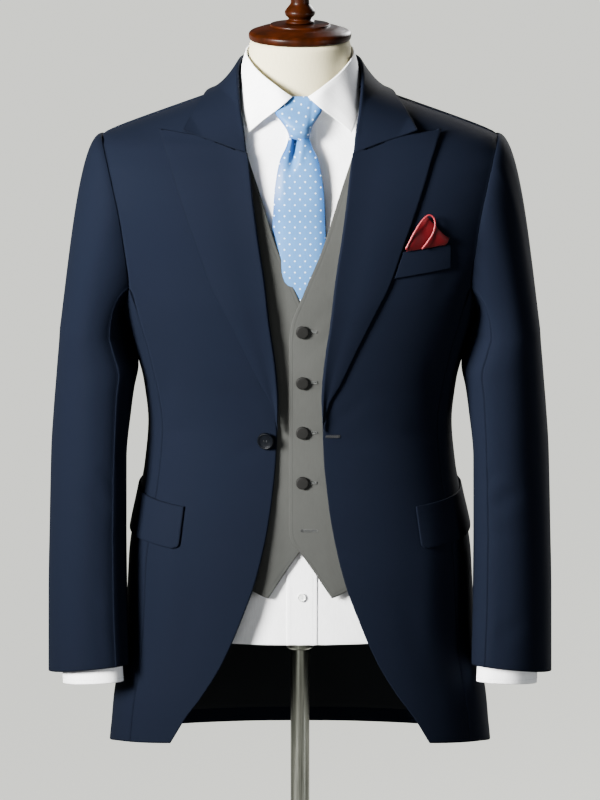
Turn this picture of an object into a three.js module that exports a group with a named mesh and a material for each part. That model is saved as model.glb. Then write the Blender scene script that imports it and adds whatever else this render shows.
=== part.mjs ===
// Morning suit on a limbless dress form: cutaway coat, waistcoat, shirt, tie and pocket square.
// Millimetres. +Z is up, the front faces -Y and +X is the wearer's left. The origin is on the floor,
// at the middle of the stand's base.

import * as THREE from 'three';
import { mergeVertices } from 'three/addons/utils/BufferGeometryUtils.js';

// Driving sizes
const SEAM = 0.3;
const COAT_WALL = 2.2;
const LAPEL_WALL = 2.6;
const WAISTCOAT_WALL = 1.8;
const SHIRT_WALL = 1.0;
const LINING_WALL = 1.0;
const TIE_WALL = 2;
const LAID_ON = 0.7;
const WAIST_Z = 1079;
const ARMPIT_Z = 1205;
const CHEST_Z = 1245;
const SHOULDER_Z = 1410;
const NECK_Z = 1468;
const BREAK_Z = 1086;
const GORGE_Z = 1400;
const CROWN_FOOT_Z = 1185;
const SEAM_ANGLE = 68.5;
const HEM_CORNER_ANGLE = 52.6;
const SHIRT_HEM_Z = 836.5;
const FORM_BOTTOM_Z = 843;
const CAP_Z = 1519.4;
const POLE_RADIUS = 11;
const BASE_RADIUS = 180;
const BASE_THICK = 14;

const SIDES = [['r', -1], ['l', 1]];
const DEG = Math.PI / 180;
const LEVELS = [775, 815, 870, 925, 975, 1010, 1045, 1079, 1110, 1145, 1180, 1215, CHEST_Z,
  1270, 1300, 1330, 1358, 1382, 1398, SHOULDER_Z, 1420, 1432, 1445, 1457, NECK_Z];
// Levels of what the coat hides
const HIDDEN_LEVELS = [975, 1045, 1079, 1110, 1145, 1180, 1215, CHEST_Z, 1300, 1358, 1396, SHOULDER_Z,
  1420, 1428, 1435, 1445, 1457];

const COLOURS = {
  navy: ['#1c2838', 0.8, 0],
  lining: ['#101216', 0.6, 0],
  grey: ['#5f6366', 0.85, 0],
  white: ['#eef2f2', 0.8, 0],
  blue: ['#8fb4dc', 0.5, 0],
  red: ['#8c1420', 0.6, 0],
  jersey: ['#e6e4d7', 0.9, 0],
  wood: ['#5b3018', 0.35, 0],
  steel: ['#a5a6a0', 0.3, 1],
  horn: ['#12161d', 0.4, 0],
  cloth: ['#4a4d50', 0.7, 0],
  pearl: ['#e9ecea', 0.35, 0],
};

// Horizontal sections of the coat's outside: half-width, depth forward and back, and squareness
const COAT_SECTIONS = table(['z', 'side', 'front', 'back', 'power'], [
  [660, 223.5, 140, 154, 2.4],
  [692, 221.6, 140, 152, 2.4],
  [722, 218.5, 139.5, 150, 2.4],
  [764, 213.5, 138, 147, 2.4],
  [791, 207.5, 137, 145, 2.4],
  [840, 201.5, 134, 140, 2.4],
  [880, 199.5, 131, 135, 2.4],
  [922, 197.4, 128, 130, 2.4],
  [952, 193.5, 125, 126, 2.4],
  [994, 185, 122, 120, 2.4],
  [1027, 179, 119, 114, 2.4],
  [WAIST_Z, 174.6, 116, 108, 2.4],
  [1125, 180, 120, 109, 2.4],
  [1151, 186, 124, 111.5, 2.4],
  [1180, 194, 128, 115, 2.4],
  [ARMPIT_Z, 203, 131, 118, 2.4],
  [1240, 215, 134, 121, 2.4],
  [1300, 236, 132, 122, 2.4],
  [1350, 248, 124, 119, 2.4],
  [1380, 247, 112, 113, 2.4],
  [1400, 237, 101, 106, 2.3],
  [SHOULDER_Z, 225.3, 95.5, 101.5, 2.25],
  [1416, 212.5, 91.5, 98.5, 2.2],
  [1431, 173, 84, 92.5, 2.15],
  [1446, 131, 77.5, 86, 2.1],
  [1457, 101, 73.5, 81, 2.05],
  [1465, 83, 71, 77.5, 2],
  [1475, 70, 68.5, 74.5, 2],
]);

// How much smaller each layer is than the layer over it: at the side, front and back, and downward
const WAISTCOAT_EASE = table(['z', 'side', 'front', 'back', 'down'], [
  [820, 24, 18, 24, 0],
  [900, 22, 14, 20, 0],
  [960, 16, 8.5, 14, 0],
  [1027, 9, 4.6, 8, 0],
  [WAIST_Z, 5, 3.3, 4.5, 0],
  [1125, 9, 4.5, 5, 0],
  [ARMPIT_Z, 20, 6.5, 7, 0],
  [1300, 24, 7, 7, 0],
  [1350, 16, 6, 6, 1],
  [1380, 9, 4.5, 4.5, 2.4],
  [1400, 3.4, 3.4, 3.4, 3.4],
  [1428, 3.4, 3.4, 4.1, 3.4],
  [1480, 3.4, 3.4, 3.4, 3.4],
]);
const SHIRT_EASE = table(['z', 'side', 'front', 'back', 'down'], [
  [820, 4.6, 8.8, 4.6, 0],
  [1150, 4.6, 8.8, 5, 0],
  [1200, 11.5, 8.8, 8, 0],
  [1245, 9, 8.8, 6.5, 0],
  [1300, 5.5, 8.8, 5.5, 0],
  [1350, 4, 7, 4.8, 0.6],
  [1380, 3.2, 4.4, 4.4, 1.6],
  [1405, 3, 3.2, 4, 2.9],
  [1430, 4.8, 4.2, 7.2, 4.5],
  [1445, 3.2, 3, 4, 3],
  [1480, 2.6, 2.6, 3.2, 2.6],
]);
const FORM_EASE = table(['z', 'side', 'front', 'back', 'down'], [
  [820, 3.2, 3, 3.2, 0],
  [1180, 5, 2.6, 3.2, 0],
  [1240, 16, 2.6, 3.2, 0],
  [1300, 26, 2.6, 3.2, 0],
  [1350, 36, 2.4, 3, 0.3],
  [1380, 38, 2.2, 2.6, 0.8],
  [1400, 34, 2.2, 2.2, 1.4],
  [1412, 14, 2.6, 2.4, 1.8],
  [1418, 2.4, 3.2, 2.6, 1.8],
  [1440, 3, 5.6, 2.8, 1.8],
  [1480, 2, 3, 2.6, 1.8],
]);
const FORM_LEVELS = [FORM_BOTTOM_Z, 895, 975, 1045, 1079, 1110, 1145, 1215, CHEST_Z, 1300, 1345,
  1377, 1397, 1408, 1418, 1430, 1443];
const FORM_NECK = table(['z', 'side', 'front', 'back', 'power'], [
  [1454, 78, 63, 70, 2.05],
  [1463, 64.6, 60.4, 64.2, 2],
  [1475, 60.8, 59.2, 61, 2],
  [1497, 58.6, 58.6, 59.4, 2],
  [1518.5, 57.5, 57.5, 57.5, 2],
]);

// The coat's front edge below the roll line, and the roll line above it
const FRONT_EDGE = table(['z', 'x'], [
  [700, 164], [722, 149], [750, 132], [778, 112], [810, 93.5], [845, 77], [875, 65], [908, 53],
  [941, 44], [980, 36], [1016, 31], [1055, 27.2], [BREAK_Z, 26], [1101, 27], [1135, 28.4],
  [1174, 31.5], [1218, 37.5], [1266, 43], [1318, 51], [1359, 56.5], [GORGE_Z, 61], [1429, 65.5],
  [1450, 68.5], [NECK_Z, 70],
]);
const HEM = table(['angle', 'z'], [
  [45, 726], [HEM_CORNER_ANGLE, 722], [60, 718.5], [68.5, 714], [75, 710], [90, 698], [105, 690],
  [120, 684.5], [150, 680.5], [180, 680],
]);
// The armhole's half-width from the shoulder down to the armpit
const ARMHOLE = table(['z', 'x'], [
  [ARMPIT_Z, 203], [1225, 196], [CHEST_Z, 194.8], [1270, 196.5], [1300, 200.4], [1330, 205],
  [1358, 211.2], [1382, 217], [1398, 221.5], [SHOULDER_Z, 225.3],
]);
// The lapel's edge, from the break up to the point of the peak, beside its place on the roll line
const LAPEL_EDGE = table(['roll_z', 'x', 'z'], [
  [1088, 27.4, 1100], [1108, 33, 1122], [1130, 46, 1146], [1155, 62, 1181], [1185, 84, 1226],
  [1220, 101.5, 1261], [1260, 114.5, 1298], [1300, 126.5, 1331], [1340, 138, 1364],
  [1375, 150, 1400], [GORGE_Z, 159.5, 1424],
]);
const GORGE_BEND = 6.5;
// The collar, from its front end on the gorge round to the middle of the neck
const COLLAR = table(['fold_x', 'fold_y', 'fold_z', 'mid_sag', 'edge_x', 'edge_y', 'edge_z'], [
  [62, -99.5, 1405, 0, 133, -76.4, 1428.5],
  [65.5, -87, 1429, 0.5, 127.5, -62, 1437.5],
  [70, -69, 1452, 2, 119, -42, 1446.5],
  [73, -38, 1477, 4.5, 111, -16, 1456.5],
  [72.5, 0, 1491, 6, 107, 12, 1459],
  [64.5, 38, 1495.5, 5, 94, 49, 1457.5],
  [40, 67, 1497, 3.5, 56, 79, 1456.5],
  [0, 78.5, 1497.5, 3, 0, 91.5, 1455],
]);
const COLLAR_WALL = 2.4;
const COLLAR_STAND_WALL = 1.6;
// The collar's outside keeps this far out of the coat
const COLLAR_EASE = table(['z', 'side', 'front', 'back', 'down'], [
  [1380, -4.2, -4.2, -4.2, -3], [1480, -4.2, -4.2, -4.2, -3],
]);

// Sleeve rings below the crown: outer and inner edge, centre and half-depth front to back, how much the
// front leans in, and how far the ring drops at its outside and rises at its front
const SLEEVE_COLUMNS = ['z', 'outer', 'inner', 'centre', 'depth', 'shear', 'drop', 'rise'];
const SLEEVE = table(SLEEVE_COLUMNS, [
  [CROWN_FOOT_Z, 275.6, 198, 0, 77, 0, 0, 0],
  [1146, 278.5, 189.6, -3, 75, 0.06, 0, 0],
  [1095, 282, 195, -8, 71, 0.12, 0, 0],
  [1040, 284.5, 201, -15, 67, 0.18, 0, 0],
  [965, 286.5, 201, -25, 63, 0.18, 0, 0],
  [880, 288, 200.5, -37, 59, 0.2, 0, 0],
  [796, 287.5, 200, -51, 54, 0.26, 5, 11],
]);
const SLEEVE_POWER = 2.25;
// Where the armhole's points land on the sleeve's first ring, from the shoulder to the armpit
const CROWN_ANGLES = [0, 17, 31, 47, 63, 80, 97, 115, 148, 180];
const SLEEVE_SEAM_ANGLE = 115;
const CROWN_STEPS = [0, 0.1, 0.27, 0.56, 1];
const SHIRT_CROWN_STEPS = [0, 0.3, 0.62, 1];
const SHIRT_SLEEVE = table(SLEEVE_COLUMNS, [
  [1150, 266, 206, -3, 62, 0, 0, 0],
  [1000, 275, 209.5, -21, 53, 0.18, 0, 0],
  [834, 274, 209, -48, 43, 0.24, 0, 0],
]);
const SHIRT_CUFF = table(SLEEVE_COLUMNS, [
  [833.6, 273, 208, -48, 42, 0.24, 0, 0],
  [800, 272, 206, -52, 41, 0.26, 1.2, 4],
  [780, 271, 205, -55, 41, 0.26, 2, 8],
]);

const V_EDGE = table(['z', 'x'], [
  [893, 36], [920, 18.5], [947, 0], [960, -10], [975, -12.5], [1191, -12.5], [1215, -9.5],
  [1237, -1], [1260, 8.5], [1298, 24.5], [1364, 46], [1411, 62], [1440, 69], [1463, 74],
]);
const WAISTCOAT_HEM = table(['angle', 'z'], [
  [0, 893], [17, 893], [26, 901], [60, 922], [90, 937], [180, 930],
]);
const WAISTCOAT_ARMHOLE = table(['z', 'x'], [
  [1215, 181], [CHEST_Z, 174], [1270, 166], [1300, 158], [1358, 148], [1398, 146], [1420, 147],
  [1435, 149],
]);
const WAISTCOAT_LAP = 14;
const WAISTCOAT_BUTTONS_Z = [1205, 1145, 1086, 1028];

const SHIRT_NECK = table(['z', 'x'], [
  [1436, 2], [1440, 22], [1447, 42], [1456, 57], [1465, 67],
]);
const SHIRT_ARMHOLE = table(['z', 'x'], [
  [1215, 190], [CHEST_Z, 186], [1270, 187], [1300, 190], [1330, 194], [1358, 199], [1382, 204],
  [1396, 208.5], [1404, 211],
]);
const SHIRT_COLLAR_COLUMNS = ['fold_x', 'fold_y', 'fold_z', 'edge_x', 'edge_y', 'edge_z', 'foot_angle',
  'foot_z'];
const SHIRT_COLLAR = table(SHIRT_COLLAR_COLUMNS, [
  [11, -73.2, 1463, 58.5, -80.5, 1425.8, 5, 1439.4],
  [25, -70.5, 1467.5, 61.5, -75.5, 1432, 20, 1442.6],
  [43, -58, 1479, 66, -61.5, 1446, 38, 1450.4],
  [57, -33, 1494.5, 68.8, -37, 1459, 58, 1460.6],
  [62.3, 0, 1505.5, 69.3, 2, 1468, 90, 1467],
  [55.5, 30, 1509, 61, 38, 1470.5, 120, 1467],
  [32, 54.5, 1511, 35, 64, 1472, 150, 1467],
  [0, 63.3, 1511.5, 0, 73.3, 1472.5, 180, 1467],
]);
const LEAF_WALL = 1.3;
const TIE_BLADE = table(['z', 'half', 'lift'], [
  [1046, 3, 3.8], [1079, 38, 3.8], [1110, 37.6, 3.8], [1145, 37, 3.8], [1180, 36, 3.8],
  [1215, 35, 3.8], [CHEST_Z, 34, 3.8], [1275, 32.5, 4.2], [1311, 30.5, 4], [1329, 30, 5.4],
  [1347, 29.3, 9], [1366, 28, 11], [1383, 25.5, 13], [1399, 22, 15], [1413, 15, 16], [1423.4, 11.4, 16],
]);
const KNOT = table(['z', 'half', 'front', 'back'], [
  [1424, 11, 100, 84], [1429, 15, 102, 82], [1440, 20, 101, 80], [1452, 24.5, 95.5, 79],
  [1461, 26, 88, 77.5], [1464.5, 24, 83.5, 77],
]);

function table(columns, rows) {
  return rows.map((row) => Object.fromEntries(columns.map((name, i) => [name, row[i]])));
}

// A smooth curve through a table's rows that never overshoots between two of them
function curve(rows, key, value) {
  const x = rows.map((row) => row[key]);
  const y = rows.map((row) => row[value]);
  const last = x.length - 1;
  const slope = y.slice(1).map((end, i) => (end - y[i]) / (x[i + 1] - x[i]));
  const tangent = x.map((_, i) => {
    if (i === 0 || i === last) return slope[Math.min(i, last - 1)];
    const product = slope[i - 1] * slope[i];
    return product <= 0 ? 0 : 2 * product / (slope[i - 1] + slope[i]);
  });
  return (at) => {
    if (at <= x[0]) return y[0] + (at - x[0]) * slope[0];
    if (at >= x[last]) return y[last] + (at - x[last]) * slope[last - 1];
    const i = x.findIndex((edge) => edge > at) - 1;
    const width = x[i + 1] - x[i];
    const t = (at - x[i]) / width;
    const rise = t * t * (3 - 2 * t);
    const leave = t * (1 - t) * (1 - t) * width * tangent[i];
    const arrive = t * t * (t - 1) * width * tangent[i + 1];
    return y[i] + (y[i + 1] - y[i]) * rise + leave + arrive;
  };
}

// A body's outside, as horizontal sections. Angle 0 is the middle of the front, 90 the wearer's left.
class Layer {
  constructor(sections) {
    this.side = curve(sections, 'z', 'side');
    this.front = curve(sections, 'z', 'front');
    this.back = curve(sections, 'z', 'back');
    this.power = curve(sections, 'z', 'power');
  }

  point(angle, z) {
    const sine = Math.sin(angle * DEG);
    const cosine = Math.cos(angle * DEG);
    const power = this.power(z);
    const depth = cosine > 0 ? this.front(z) : this.back(z);
    const along = Math.abs(sine / this.side(z)) ** power + Math.abs(cosine / depth) ** power;
    const radius = along ** (-1 / power);
    return new THREE.Vector3(radius * sine, -radius * cosine, z);
  }

  normal(angle, z) {
    const across = this.point(angle + 0.5, z).sub(this.point(angle - 0.5, z));
    const up = this.point(angle, z + 1.5).sub(this.point(angle, z - 1.5));
    return across.cross(up).normalize();
  }

  frontAngle(x, z) {
    const power = this.power(z);
    const share = Math.min(Math.abs(x) / this.side(z), 0.9999);
    const forward = this.front(z) * (1 - share ** power) ** (1 / power);
    return Math.atan2(x, forward) / DEG;
  }

  backAngle(x, z) {
    const power = this.power(z);
    const share = Math.min(Math.abs(x) / this.side(z), 0.9999);
    const behind = this.back(z) * (1 - share ** power) ** (1 / power);
    return 180 - Math.atan2(x, behind) / DEG;
  }

  at(angle, z, lift = 0) {
    const normal = this.normal(angle, z);
    return { point: this.point(angle, z).addScaledVector(normal, lift), normal };
  }

  atFront(x, z, lift = 0) {
    return this.at(this.frontAngle(x, z), z, lift);
  }

  // The sections of a smaller layer inside this one
  inset(ease, levels) {
    const down = curve(ease, 'z', 'down');
    const shrink = (name) => curve(ease, 'z', name);
    const [side, front, back] = ['side', 'front', 'back'].map(shrink);
    return levels.map((z) => ({
      z,
      side: this.side(z + down(z)) - side(z),
      front: this.front(z + down(z)) - front(z),
      back: this.back(z + down(z)) - back(z),
      power: this.power(z + down(z)),
    }));
  }
}

const group = new THREE.Group();

function makeMaterial(name) {
  const [color, roughness, metalness] = COLOURS[name];
  return new THREE.MeshStandardMaterial({ color, roughness, metalness });
}

function signedVolume(points, faces) {
  let volume = 0;
  for (const [a, b, c] of faces) {
    volume += points[a].dot(points[b].clone().cross(points[c])) / 6;
  }
  return volume;
}

// One closed mesh from points and triangles, its faces turned outward and its doubled points joined
function addSolid(name, material, points, faces) {
  const outward = signedVolume(points, faces) > 0;
  let geometry = new THREE.BufferGeometry();
  const numbers = points.flatMap((point) => point.toArray());
  geometry.setAttribute('position', new THREE.Float32BufferAttribute(numbers, 3));
  geometry.setIndex((outward ? faces : faces.map(([a, b, c]) => [a, c, b])).flat());
  geometry = mergeVertices(geometry, 1e-4);
  const index = Array.from(geometry.index.array);
  const kept = [];
  for (let i = 0; i < index.length; i += 3) {
    const [a, b, c] = index.slice(i, i + 3);
    if (a !== b && b !== c && c !== a) kept.push(a, b, c);
  }
  geometry.setIndex(kept);
  geometry.computeVertexNormals();
  const mesh = new THREE.Mesh(geometry, makeMaterial(material));
  mesh.name = name;
  group.add(mesh);
}

// The normals of a free grid of points, pointing away from a given centre line
function withNormals(grid, wrap, away) {
  const rows = grid.length;
  const columns = grid[0].length;
  return grid.map((row, i) => row.map((point, j) => {
    const left = wrap ? (j + columns - 1) % columns : Math.max(j - 1, 0);
    const right = wrap ? (j + 1) % columns : Math.min(j + 1, columns - 1);
    const across = row[right].clone().sub(row[left]);
    const up = grid[Math.min(i + 1, rows - 1)][j].clone().sub(grid[Math.max(i - 1, 0)][j]);
    const normal = across.cross(up).normalize();
    if (normal.dot(point.clone().sub(away(point))) < 0) normal.negate();
    return { point, normal };
  }));
}

function moved(from, toward, distance) {
  const step = toward.point.clone().sub(from.point).setLength(distance);
  return { point: from.point.clone().add(step), normal: from.normal };
}

// Draws a grid's edges in, so that it stays clear of the pieces sewn to it
function trimmed(grid, { left = 0, right = 0, bottom = 0, top = 0 }) {
  const out = grid.map((row) => {
    const copy = row.slice();
    const last = row.length - 1;
    if (left) copy[0] = moved(row[0], row[1], left);
    if (right) copy[last] = moved(row[last], row[last - 1], right);
    return copy;
  });
  const end = out.length - 1;
  if (bottom) out[0] = out[0].map((cell, j) => moved(cell, out[1][j], bottom));
  if (top) out[end] = out[end].map((cell, j) => moved(cell, out[end - 1][j], top));
  return out;
}

// How much shorter a cell's second diagonal is before the cell is cut along it
const EVEN = 6;

// A cloth wall: the grid is its outside and the wall goes inward along each point's normal
function addWall(name, material, grid, thick, wrap = false) {
  const rows = grid.length;
  const columns = grid[0].length;
  const outer = grid.flat().map((cell) => cell.point);
  const inner = grid.flat().map((cell) => cell.point.clone().addScaledVector(cell.normal, -thick));
  const count = outer.length;
  const faces = [];
  const quad = (a, b, c, d) => faces.push([a, b, c], [a, c, d]);
  const at = (i, j) => i * columns + (j % columns);
  const spans = wrap ? columns : columns - 1;
  for (let i = 0; i < rows - 1; i++) {
    for (let j = 0; j < spans; j++) {
      const cell = [at(i, j), at(i, j + 1), at(i + 1, j + 1), at(i + 1, j)];
      const [a, b, c, d] = cell.map((index) => outer[index]);
      if (a.distanceTo(c) > b.distanceTo(d) + EVEN) cell.push(cell.shift());
      quad(...cell);
      quad(...[cell[0], cell[3], cell[2], cell[1]].map((index) => count + index));
    }
    if (!wrap) {
      quad(at(i, 0), at(i + 1, 0), count + at(i + 1, 0), count + at(i, 0));
      const j = columns - 1;
      quad(at(i + 1, j), at(i, j), count + at(i, j), count + at(i + 1, j));
    }
  }
  for (let j = 0; j < spans; j++) {
    quad(at(0, j + 1), at(0, j), count + at(0, j), count + at(0, j + 1));
    quad(at(rows - 1, j), at(rows - 1, j + 1), count + at(rows - 1, j + 1), count + at(rows - 1, j));
  }
  addSolid(name, material, outer.concat(inner), faces);
}

function lerp(a, b, t) {
  return a + (b - a) * t;
}

function steps(count) {
  return Array.from({ length: count + 1 }, (_, i) => i / count);
}

// Pulls the rows near the bottom of a panel down or up to its hem
function towardHem(z, hem, first, free) {
  return z >= free ? z : z + (hem - first) * (free - z) / (free - first);
}

const coat = new Layer(COAT_SECTIONS);
const waistcoat = new Layer(coat.inset(WAISTCOAT_EASE, LEVELS));
const shirt = new Layer(waistcoat.inset(SHIRT_EASE, LEVELS));
const overCoat = new Layer(coat.inset(COLLAR_EASE, LEVELS));
const form = new Layer(shirt.inset(FORM_EASE, FORM_LEVELS).concat(FORM_NECK));

const coatEdge = curve(FRONT_EDGE, 'z', 'x');
const coatHem = curve(HEM, 'angle', 'z');
const armholeX = curve(ARMHOLE, 'z', 'x');

const HEM_ROWS = [680, 727, ...LEVELS];
const HEM_FREE_Z = 815;
const BACK_CELLS = 5;

function coatZ(level, angle) {
  return towardHem(level, coatHem(angle), HEM_ROWS[0], HEM_FREE_Z);
}

// Over the shoulders a panel's columns are spaced evenly across, not by angle
function spaced(layer, level, [start, end], s, across, share) {
  const [from, to] = [start, end].map((angle) => layer.point(angle, level).x);
  return lerp(lerp(start, end, s), across(lerp(from, to, s), level), share(level));
}

function coatShoulderShare(level) {
  return THREE.MathUtils.smoothstep(level, 1300, 1396);
}

function addForeparts() {
  const across = (x, z) => coat.frontAngle(x, z);
  for (const [tag, side] of SIDES) {
    const grid = HEM_ROWS.map((level) => {
      const edgeZ = coatZ(level, HEM_CORNER_ANGLE);
      const start = coat.frontAngle(coatEdge(edgeZ), edgeZ);
      let end = SEAM_ANGLE;
      if (level >= CHEST_Z) end = coat.frontAngle(armholeX(level), level);
      if (level >= SHOULDER_Z) end = 90;
      return steps(6).map((s) => {
        const angle = spaced(coat, level, [start, end], s, across, coatShoulderShare);
        return coat.at(side * angle, coatZ(level, angle));
      });
    });
    addWall(`coat_forepart_${tag}`, 'navy', trimmed(grid, { right: SEAM }), COAT_WALL);
  }
}

// The armhole's lower end: the top edge of the side body, from the front seam to the back one
const ARMPIT_SHARES = [0, 0.25, 0.5, 0.75, 1];

function armpitAngle(share) {
  const first = coat.frontAngle(armholeX(CHEST_Z), CHEST_Z);
  const last = coat.backAngle(armholeX(CHEST_Z), CHEST_Z);
  return lerp(first, last, share);
}

function armpitZ(share) {
  return ARMPIT_Z + (CHEST_Z - ARMPIT_Z) * Math.abs(2 * share - 1) ** 2.2;
}

function addSideBodies() {
  const rows = HEM_ROWS.filter((level) => level <= CHEST_Z);
  for (const [tag, side] of SIDES) {
    const grid = rows.map((level) => ARMPIT_SHARES.map((share) => {
      const low = lerp(SEAM_ANGLE, 180 - SEAM_ANGLE, share);
      const angle = level === CHEST_Z ? armpitAngle(share) : low;
      const squeeze = (armpitZ(share) - 1110) / (CHEST_Z - 1110);
      const z = level > 1110 ? 1110 + (level - 1110) * squeeze : coatZ(level, angle);
      return coat.at(side * angle, z);
    }));
    const edges = { left: SEAM, right: SEAM, top: SEAM };
    addWall(`coat_sidebody_${tag}`, 'navy', trimmed(grid, edges), COAT_WALL);
  }
}

function addCoatBacks() {
  const across = (x, z) => coat.backAngle(x, z);
  for (const [tag, side] of SIDES) {
    const grid = HEM_ROWS.map((level) => {
      let start = 180 - SEAM_ANGLE;
      if (level >= CHEST_Z) start = coat.backAngle(armholeX(level), level);
      if (level >= SHOULDER_Z) start = 90;
      return steps(BACK_CELLS).map((s) => {
        const angle = spaced(coat, level, [start, 180], s, across, coatShoulderShare);
        return coat.at(side * angle, coatZ(level, angle));
      });
    });
    addWall(`coat_back_${tag}`, 'navy', trimmed(grid, { left: SEAM, right: SEAM / 2 }), COAT_WALL);
  }
}

function addTailLining() {
  const levels = [698, 727, 775, 815, 870, 975];
  const inside = -COAT_WALL - LAID_ON;
  const seamAngles = [SEAM_ANGLE, 180 - SEAM_ANGLE];
  const sideAngles = ARMPIT_SHARES.slice(1, -1).map((share) => lerp(...seamAngles, share));
  const backAngles = steps(BACK_CELLS).map((s) => lerp(seamAngles[1], 179.7, s));
  for (const [tag, side] of SIDES) {
    const grid = levels.map((level) => [...sideAngles, ...backAngles].map((angle) => (
      coat.at(side * angle, coatZ(level, angle), inside)
    )));
    addWall(`coat_tail_lining_${tag}`, 'lining', grid, LINING_WALL);
  }
}

// The armhole's own ring of points, from the shoulder down the front, under the arm and up the back
function armholeRing(layer, side, width, low, levels) {
  const up = levels.slice().reverse();
  const front = up.map((z) => layer.at(side * layer.frontAngle(width(z), z), z));
  const back = levels.map((z) => layer.at(side * layer.backAngle(width(z), z), z));
  front[0] = layer.at(side * 90, levels.at(-1));
  return [...front, ...low, ...back.slice(0, -1)];
}

const CROWN_LEVELS = LEVELS.filter((z) => z >= CHEST_Z && z <= SHOULDER_Z);
const RING_ANGLES = [...CROWN_ANGLES, ...CROWN_ANGLES.slice(1, -1).reverse().map((angle) => 360 - angle)];

function sleeveRing(rows, z, side) {
  const read = (name) => curve(rows.slice().reverse(), 'z', name)(z);
  const middle = (read('outer') + read('inner')) / 2;
  const half = (read('outer') - read('inner')) / 2;
  return RING_ANGLES.map((angle) => {
    const cosine = Math.cos(angle * DEG);
    const sine = Math.sin(angle * DEG);
    const along = Math.abs(cosine) ** SLEEVE_POWER + Math.abs(sine) ** SLEEVE_POWER;
    const radius = along ** (-1 / SLEEVE_POWER);
    const [outward, forward] = [cosine * radius, sine * radius];
    const y = -read('depth') * forward;
    const x = middle + half * outward + read('shear') * y;
    const lift = read('rise') * forward - read('drop') * outward;
    return new THREE.Vector3(side * x, read('centre') + y, z + lift);
  });
}

// Rows of a sleeve's crown: each leaves the armhole outward and comes down to the first ring
function crownRows(ring, first, side, { reach, least, crown }) {
  return crown.map((t) => ring.map((cell, j) => {
    const angle = RING_ANGLES[j];
    const cosine = Math.cos(angle * DEG);
    const sine = Math.sin(angle * DEG);
    const out = reach * Math.max(Math.abs(Math.cos(angle * DEG / 2)), least);
    const from = cell.point;
    const leave = from.clone().add(new THREE.Vector3(side * out, -8 * sine, 3 * cosine - 6 * sine * sine));
    const to = first[j];
    const swing = -13.6 * Math.max(cosine, 0) + 2.5 * Math.max(-cosine, 0);
    const arrive = to.clone().add(new THREE.Vector3(side * swing, 0, 0.467 * (from.z - to.z)));
    return new THREE.CubicBezierCurve3(from, leave, arrive, to).getPoint(t);
  }));
}

function sleeveGrid(ring, rows, side, shape) {
  const [first, ...lower] = rows.map((row) => sleeveRing(rows, row.z, side));
  const points = [...crownRows(ring, first, side, shape), ...lower];
  const middle = curve(rows.slice().reverse(), 'z', 'centre');
  const away = (point) => {
    const z = Math.min(point.z, CROWN_FOOT_Z + 60);
    return new THREE.Vector3(side * 238, middle(Math.min(z, rows[0].z)), z);
  };
  return withNormals(points, true, away);
}

function addCoatSleeves() {
  for (const [tag, side] of SIDES) {
    const low = ARMPIT_SHARES.slice(1, -1).map((share) => (
      coat.at(side * armpitAngle(share), armpitZ(share))
    ));
    const ring = armholeRing(coat, side, armholeX, low, CROWN_LEVELS);
    const grid = sleeveGrid(ring, SLEEVE, side, { reach: 24.7, least: 0, crown: CROWN_STEPS });
    const seam = CROWN_ANGLES.indexOf(SLEEVE_SEAM_ANGLE);
    const count = RING_ANGLES.length;
    const top = grid.map((row) => [...row.slice(count - seam), ...row.slice(0, seam + 1)]);
    const under = grid.map((row) => row.slice(seam, count - seam + 1));
    const edges = { left: SEAM / 2, right: SEAM / 2, bottom: 0.2 };
    addWall(`coat_topsleeve_${tag}`, 'navy', trimmed(top, edges), COAT_WALL);
    addWall(`coat_undersleeve_${tag}`, 'navy', trimmed(under, edges), COAT_WALL);
  }
}

function addLapels() {
  const edgeX = curve(LAPEL_EDGE, 'roll_z', 'x');
  const edgeZ = curve(LAPEL_EDGE, 'roll_z', 'z');
  for (const [tag, side] of SIDES) {
    const grid = steps(14).map((step) => {
      const u = 1 - (1 - step) ** 1.6;
      const rollZ = lerp(LAPEL_EDGE[0].roll_z, GORGE_Z, u);
      const rollX = coatEdge(rollZ) - 0.8;
      return steps(5).map((v) => {
        const bend = GORGE_BEND * Math.min(v / 0.57, (1 - v) / 0.43) * u ** 6;
        const x = lerp(rollX, edgeX(rollZ), v);
        const z = lerp(rollZ, edgeZ(rollZ), v) + bend;
        const roll = 2.4 * Math.max(0, 1 - v / 0.35) ** 2;
        return coat.atFront(side * x, z, LAPEL_WALL + LAID_ON + roll + 1.1 * u ** 4);
      });
    });
    addWall(`coat_lapel_${tag}`, 'navy', trimmed(grid, { top: 2 }), LAPEL_WALL);
  }
}

// Both sides' stations of a collar in one run, from the right front round the back to the left
function bothSides(stations) {
  const left = stations.map((row) => ({ ...row, side: 1 }));
  const right = stations.slice(0, -1).map((row) => ({ ...row, side: -1 }));
  return [...right, ...left.reverse()];
}

function through(stations, read, count) {
  const line = new THREE.CatmullRomCurve3(stations.map(read), false, 'centripetal');
  return steps(count).map((t) => line.getPoint(t));
}

// Moves a point out along a layer's normal until it lies on the layer or outside it
function pushedOut(point, layer) {
  const out = point.clone();
  for (let i = 0; i < 80; i++) {
    const angle = Math.atan2(out.x, -out.y) / DEG;
    if (Math.hypot(out.x, out.y) >= Math.hypot(...layer.point(angle, out.z).toArray().slice(0, 2))) break;
    out.addScaledVector(layer.normal(angle, out.z), 0.2);
  }
  return out;
}

function place(row, name) {
  return new THREE.Vector3(row.side * row[`${name}_x`], row[`${name}_y`], row[`${name}_z`]);
}

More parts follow.
